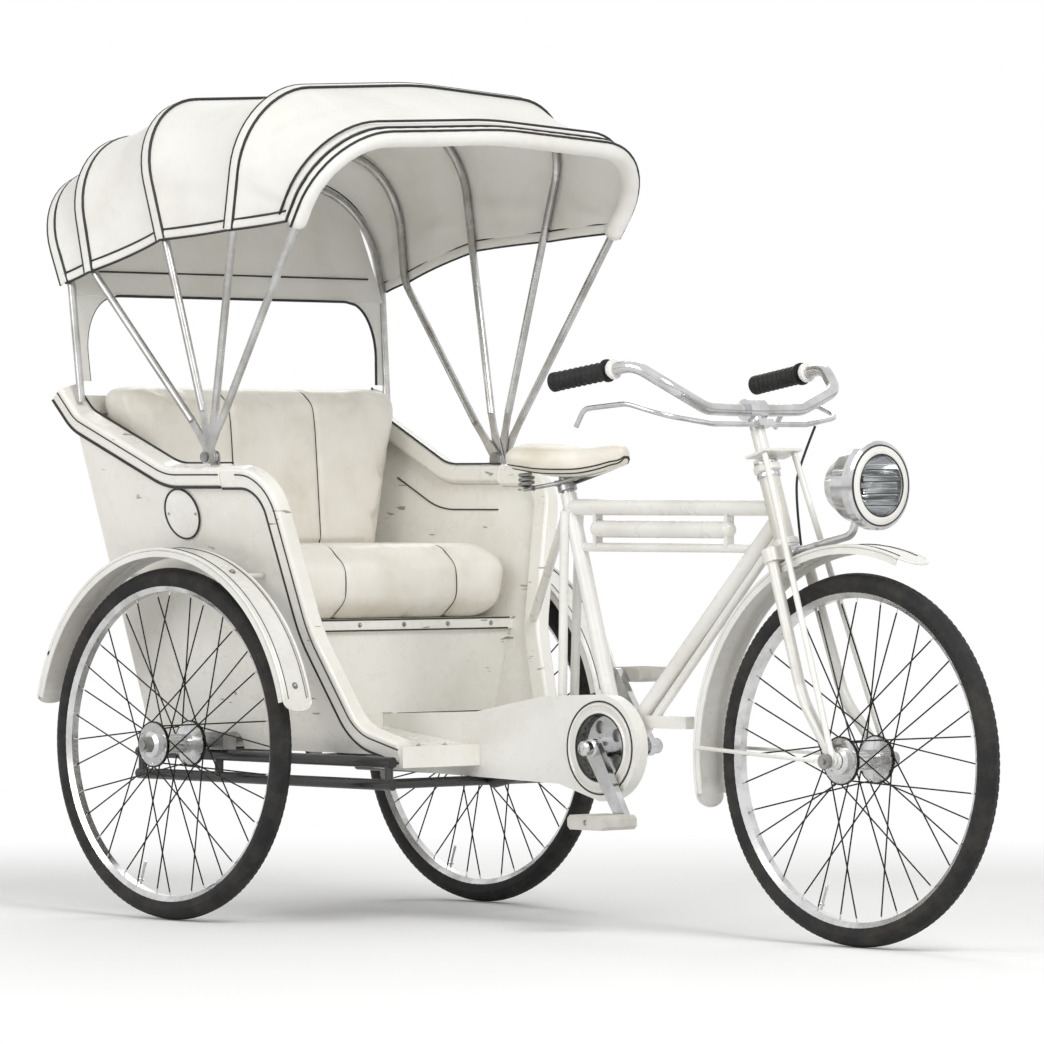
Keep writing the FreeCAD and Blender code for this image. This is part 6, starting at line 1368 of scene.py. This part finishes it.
# %% Collars and head bands
HEAD, FORK_OFFSET = radians(19), 0.050      # the head's lean, and the front axle ahead of it
STEER_FOOT = np.array([FRONT_AXLE[0] - FORK_OFFSET / cos(HEAD), 0, AXLE_Z])
STEER_UP = np.array([-sin(HEAD), 0, cos(HEAD)])
CLAMP = STEER_FOOT + STEER_UP * 0.698       # the handlebar's middle
GRIP_BACK = 0.259                           # how far the grips' ends lie behind it
COLLAR = ((-0.1550, 0.0122), (-0.1550, 0.0168), (-0.1535, 0.0188), (-0.1465, 0.0188),
          (-0.1450, 0.0168), (-0.1420, 0.0160), (-0.1405, 0.0150), (-0.1405, 0.0122))
BAND = np.array([(0, 0.0200), (0.001, 0.0228), (0.005, 0.0234), (0.009, 0.0228), (0.010, 0.0200)])
collars = []
for _, side in SIDES:
    end = CLAMP + np.array([-GRIP_BACK, side * 0.274, 0.054])
    before = CLAMP + np.array([-0.23 * GRIP_BACK, side * 0.258, 0.084])
    way = (end - before) / np.linalg.norm(end - before)
    collars.append(turned(COLLAR, end, way, 40))
solid("grip_collars", collars, "fork", frame_paint, 50)
bands = [turned(BAND + (low, 0), STEER_FOOT, STEER_UP, 40) for low in (0.585, 0.560, 0.380)]
solid("head_bands", bands, "chassis", chrome, 50)
print("collars at", [round(float(v), 3) for v in CLAMP])

# %% [markdown]
# ## Crank caps and case lines
# A long dust cap covers each end of the crank's spindle.  Two painted rings run round the opening
# and the pressed bead of the chain case.  What is made on a lathe is made here the same way: by a
# profile turned about an axis.

# %% Make caps and rings
BOTTOM = np.array([AXLE_X + 0.850, 0, 0.358])
CAP = [(0.0805, 0.0110), (0.0805, 0.0185), (0.0830, 0.0188), (0.0850, 0.0165), (0.0860, 0.0140),
       (0.0960, 0.0136), (0.0975, 0.0150), (0.1010, 0.0150), (0.1035, 0.0130), (0.1045, 0.0095),
       (0.1050, 0.0060), (0.1065, 0.0055), (0.1070, 0.0010)]
caps = [turned(CAP, BOTTOM, side * LEFT, 48) for _, side in SIDES]
solid("crank_caps", caps, "crank", chrome, 40)
rings = [along(circle(BOTTOM + y * LEFT, radius, FORWARD, UP, 120), 0.0017, LEFT, closed=True)
         for radius, y in ((0.0905, -0.0572), (0.0655, -0.0577))]
solid("case_rings", rings, "chassis", black_piping, 80)
print("caps reach", CAP[-1][0], "m from the middle")

# %% [markdown]
# ## Tyres
# Rickshaw tyres carry a band of ribs round the tread, cut across every 16 mm, and a plain
# sidewall with one raised ring.  A displacement map would need far more faces to show them, so
# one section is written as height over the round casing, and the cuts take a little off the ribs.

# %% Make the tyres
TREAD_TO, RING_AT, RIM_AT = 0.95, 1.5, 2.45     # angles from the section's top, in radians
RIB_HIGH, CUT_DEEP, RING_HIGH = 0.0016, 0.0013, 0.0008
IN_RIM = 0.0165                             # half of the tyre's width where the rim holds it
CUTS = 140                                  # round the wheel


def tyre(node):
    """A torus in the box of the frame's tyre: its section's radius is a function of the angle
    round the section, for ribs and ring, and of the angle round the wheel, for the cuts."""
    low, high = [np.array(corner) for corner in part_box(node)]
    centre = (low + high) / 2
    outer, half = (high[2] - low[2]) / 2, (high[1] - low[1]) / 2
    ring, across = 4 * CUTS, 34
    turn = np.linspace(0, 2 * pi, ring, endpoint=False)[:, None]
    a = np.linspace(-pi, pi, across, endpoint=False)[None]
    tread = np.clip((TREAD_TO - np.abs(a)) / 0.12, 0, 1)
    ribs = 0.5 + 0.5 * np.cos(a * 13)
    cuts = (np.cos(turn * ring / 4 + np.sign(a) * pi * 0.5) > 0.6) * (np.abs(a) > 0.22)
    wall = np.exp(-((np.abs(a) - RING_AT) / 0.07) ** 2)
    height = tread * (RIB_HIGH * ribs - CUT_DEEP * cuts * ribs) + RING_HIGH * wall - RIB_HIGH
    radius = half + height
    flat_in_rim = np.minimum(radius, IN_RIM / np.maximum(np.abs(np.cos(a)), 0.2))
    radius = np.where(np.abs(a) > RIM_AT, flat_in_rim, radius)
    far = outer - half + radius * np.cos(a)
    x, z = centre[0] + far * np.cos(turn), centre[2] + far * np.sin(turn)
    points = np.stack(np.broadcast_arrays(x, centre[1] + radius * np.sin(a), z), 2).reshape(-1, 3)
    return points, tube_faces(ring, across, True)


VALVE = ((0.252, 0.0018), (0.254, 0.0030), (0.262, 0.0030), (0.264, 0.0024), (0.290, 0.0024),
         (0.2905, 0.0050), (0.2935, 0.0050), (0.294, 0.0024), (0.302, 0.0024))
for node, body in (("rear_tyre_right", "rear_wheel_right"), ("rear_tyre_left", "driven_axle"),
                   ("front_tyre", "front_wheel")):
    piece = solid("ribbed_" + node, [tyre(node)], body, tyre_rubber, 30)
    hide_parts(node)
    valve = turned(VALVE, middle_of(node), spoke_way(251), 14)
    solid("valve_" + node, [valve], body, chrome, 40)
print("three tyres with", len(piece.data.polygons), "faces each")

# %% [markdown]
# ## Chain
# Half inch roller chain: pins one pitch apart on the line round both sprockets, with a roller on
# each pin and a pair of waisted plates from each pin to the next.  An array bent along a curve
# would bend the plates as well, so each link is placed stiff between its own two pins.

# %% The line of the chain
PITCH = 0.0127
CHAIN_Y = -0.042
CRANK = np.array([BOTTOM[0], CHAIN_Y, BOTTOM[2]])
REAR = np.array([AXLE_X, CHAIN_Y, AXLE_Z])
RING_TEETH, COG_TEETH = 32, 18
RING_RADIUS, COG_RADIUS = [PITCH / 2 / sin(pi / teeth) for teeth in (RING_TEETH, COG_TEETH)]


def chain_line():
    """The open belt round two circles: its tangents leave the centres' line by
    asin((R - r) / distance), and the arcs join them."""
    between = CRANK - REAR
    far = np.linalg.norm(between)
    base, tilt = atan2(between[2], between[0]), np.arcsin((RING_RADIUS - COG_RADIUS) / far)
    front = np.linspace(base - pi / 2 - tilt, base + pi / 2 + tilt, 200)
    rear = np.linspace(base + pi / 2 + tilt, base + 3 * pi / 2 - tilt, 200)
    loop = np.concatenate([np.stack([c[0] + r * np.cos(t), 0 * t + c[1], c[2] + r * np.sin(t)], 1)
                           for c, r, t in ((CRANK, RING_RADIUS, front), (REAR, COG_RADIUS, rear))])
    return np.concatenate([loop, loop[:1]])


loop = chain_line()
long = float(steps_of(loop).sum())
links = 2 * round(long / PITCH / 2)
pins = even(loop, links + 1)[:-1]
way = unit(np.roll(pins, -1, 0) - pins)
lift = np.stack([-way[:, 2], 0 * way[:, 1], way[:, 0]], 1)


print("chain of", links, "links,", round(long, 3), "m round")


# %% Shapes of a link
def placed(template, faces, start):
    """The same small shape on every second pin: along the link, across it and off it."""
    x, y, z = [template[None, :, k:k + 1] for k in range(3)]
    points = pins[start::2, None] + way[start::2, None] * x + lift[start::2, None] * z + LEFT * y
    first = np.arange(len(points))[:, None, None] * len(template)
    return points.reshape(-1, 3), [(np.array(faces) + first).reshape(-1, 4)]


def plate(y_low, y_high):
    """A plate with a round head over each pin and a narrow waist, as a ladder of quads."""
    x = np.array([-0.0041, -0.0029, 0.0, 0.0032, 0.00635, 0.0095, 0.0127, 0.0156, 0.0168])
    h = np.array([0.0008, 0.0029, 0.0041, 0.0033, 0.0027, 0.0033, 0.0041, 0.0029, 0.0008])
    n = len(x)
    t = np.concatenate([np.stack([x, 0 * x + y, sign * h], 1)
                        for y in (y_low, y_high) for sign in (-1, 1)])
    f = []
    for k in range(n - 1):
        f += [(k, k + 1, n + k + 1, n + k), (2 * n + k, 3 * n + k, 3 * n + k + 1, 2 * n + k + 1),
              (k, 2 * n + k, 2 * n + k + 1, k + 1), (n + k, n + k + 1, 3 * n + k + 1, 3 * n + k)]
    f += [(0, n, 3 * n, 2 * n), (n - 1, 3 * n - 1, 4 * n - 1, 2 * n - 1)]
    return t, f


def barrel(radius, half):
    """A roller or a pin: four rings of eight points, with both ends closed by three quads."""
    turn = np.linspace(0, 2 * pi, 8, endpoint=False)
    inner = radius * 0.35
    rings = [np.stack([r * np.cos(turn), 0 * turn + y, r * np.sin(turn)], 1)
             for r, y in ((inner, -half), (radius, -half), (radius, half), (inner, half))]
    end = np.array([(0, 1, 2, 3), (0, 3, 4, 7), (4, 5, 6, 7)])
    return np.concatenate(rings), np.concatenate([grid_faces(4, 8, False, True), end, end + 24])


print("a plate has", len(plate(0, 1)[1]), "faces")

# %% Lay the links
parts = []
for start, inner, outer in ((0, 0.0017, 0.0026), (1, 0.0028, 0.0037)):
    for _, side in SIDES:
        parts.append(placed(*plate(*sorted((side * inner, side * outer))), start))
    parts.append(placed(*barrel(0.0038, 0.0016), start))
    parts.append(placed(*barrel(0.0017, 0.0039), start))
chain = solid("roller_chain", parts, "chassis", dark_steel, 30)
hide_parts("chain")
print("chain of", len(chain.data.polygons), "faces")

# %% [markdown]
# ## Fasteners
# Dome nuts and bolts hold the rear guards and the tub's boards.  Each is one small profile
# turned about its own axis.

# %% Place nuts and bolts
def dome(where, way, radius):
    """A dome head on a round washer."""
    profile = [(-0.0004, 0.0008), (-0.0004, radius * 1.45), (0.0009, radius * 1.45),
               (0.0009, radius), (0.0024, radius * 0.98), (0.0040, radius * 0.72),
               (0.0048, radius * 0.3), (0.0049, 0.0004)]
    return turned(profile, where, way, 18)


heads = [dome(middle_of(node) + spoke_way(angle) * 0.3912, spoke_way(angle), 0.0048)
         for node in ("rear_tyre_right", "rear_tyre_left") for angle in (18.5, 62, 118, 163)]
heads += [dome((AXLE_X + 0.2232, y, 0.588), FORWARD, 0.0034) for y in np.linspace(-0.24, 0.24, 5)]
FOOTBOARD = (0.119, 0, 0.993)               # away from the front board, which slopes a little
heads += [dome((AXLE_X + 0.474, y, 0.352 + 0.024 * 34 / 283 + 0.0002), FOOTBOARD, 0.0034)
          for y in (-0.262, -0.19, -0.12, 0.03, 0.11, 0.19, 0.232)]
solid("tub_bolts", heads, "chassis", steel, 50)
print(len(heads), "bolt heads")

# %% [markdown]
# ## Floor, backdrop and light
# A pale floor runs out into a white world.  Three large soft lamps and the world light the
# vehicle evenly, so that no shadow hides a part.  The floor turns into white light further out,
# so no edge of it shows against the world.

# %% Make the stage
def make_stage():
    """A level sheet whose colour fades, from 1.9 to 3.4 metres out, into the world's white."""
    wide = np.linspace(-30, 30, 5)
    x, y = np.meshgrid(wide, wide, indexing="ij")
    points = np.stack([x, y, 0 * x - 0.0005], 2).reshape(-1, 3)
    mesh = mesh_of("floor", points, [grid_faces(5, 5)])
    made, tree, shader = new_material("pale_floor", "#f4f4f3", Roughness=0.9,
                                      Specular_IOR_Level=0.1)
    speck = noise(tree, 3, 3, 0.5)
    feed(tree, shader, Base_Color=ramp(tree, speck, [(0.3, "#f2f2f1"), (0.7, "#f5f5f4")]))
    far = add(tree, "VectorMath", [(0, add(tree, "TexCoord").outputs["Object"])],
              operation="LENGTH").outputs["Value"]
    fade = remap(tree, far, 1.9, 3.4, 0, 1)
    seen = add(tree, "Math", [(0, fade), (1, add(tree, "LightPath").outputs["Is Camera Ray"])],
               operation="MULTIPLY").outputs[0]
    white = add(tree, "Emission", Color=(1, 1, 1, 1), Strength=1.0)
    mixed = add(tree, "MixShader", [(0, seen), (1, shader.outputs["BSDF"]),
                                    (2, white.outputs["Emission"])])
    tree.links.new(tree.nodes["Material Output"].inputs["Surface"], mixed.outputs["Shader"])
    link("floor", mesh, None, made)


def lamp(name, place, aim, width, power):
    """A square soft lamp that faces a point."""
    data = bpy.data.lights.new(name, "AREA")
    data.size = width
    data.energy = power
    made = bpy.data.objects.new(name, data)
    scene.collection.objects.link(made)
    made.location = place
    made.rotation_euler = (Vector(aim) - Vector(place)).to_track_quat("-Z", "Y").to_euler()


make_stage()
print("a floor 60 m wide")

# %% Light it
lamp("key", (5.5, -1.5, 5.5), (0, 0, 0.8), 3.2, 300)
lamp("fill", (-0.5, -6.5, 3.4), (0, 0, 0.8), 4.0, 150)
lamp("rim", (-4.5, 4.0, 5.0), (0, 0, 1.0), 3.0, 110)
world = bpy.data.worlds.new("pale_world")
scene.world = world
world.use_nodes = True
sky = world.node_tree
ray = add(sky, "LightPath").outputs
seen = add(sky, "Math", [(0, ray["Is Camera Ray"]), (1, ray["Is Glossy Ray"])], operation="MAXIMUM")
seen = add(sky, "Math", [(0, seen.outputs[0]), (1, ray["Is Transmission Ray"])],
           operation="MAXIMUM")
strength = remap(sky, seen.outputs[0], 0, 1, 0.5, 1.0)
sky.nodes["Background"].inputs["Color"].default_value = (1, 1, 1, 1)
sky.links.new(sky.nodes["Background"].inputs["Strength"], strength)
scene.view_settings.view_transform = "Standard"
print("three lamps and a pale world")
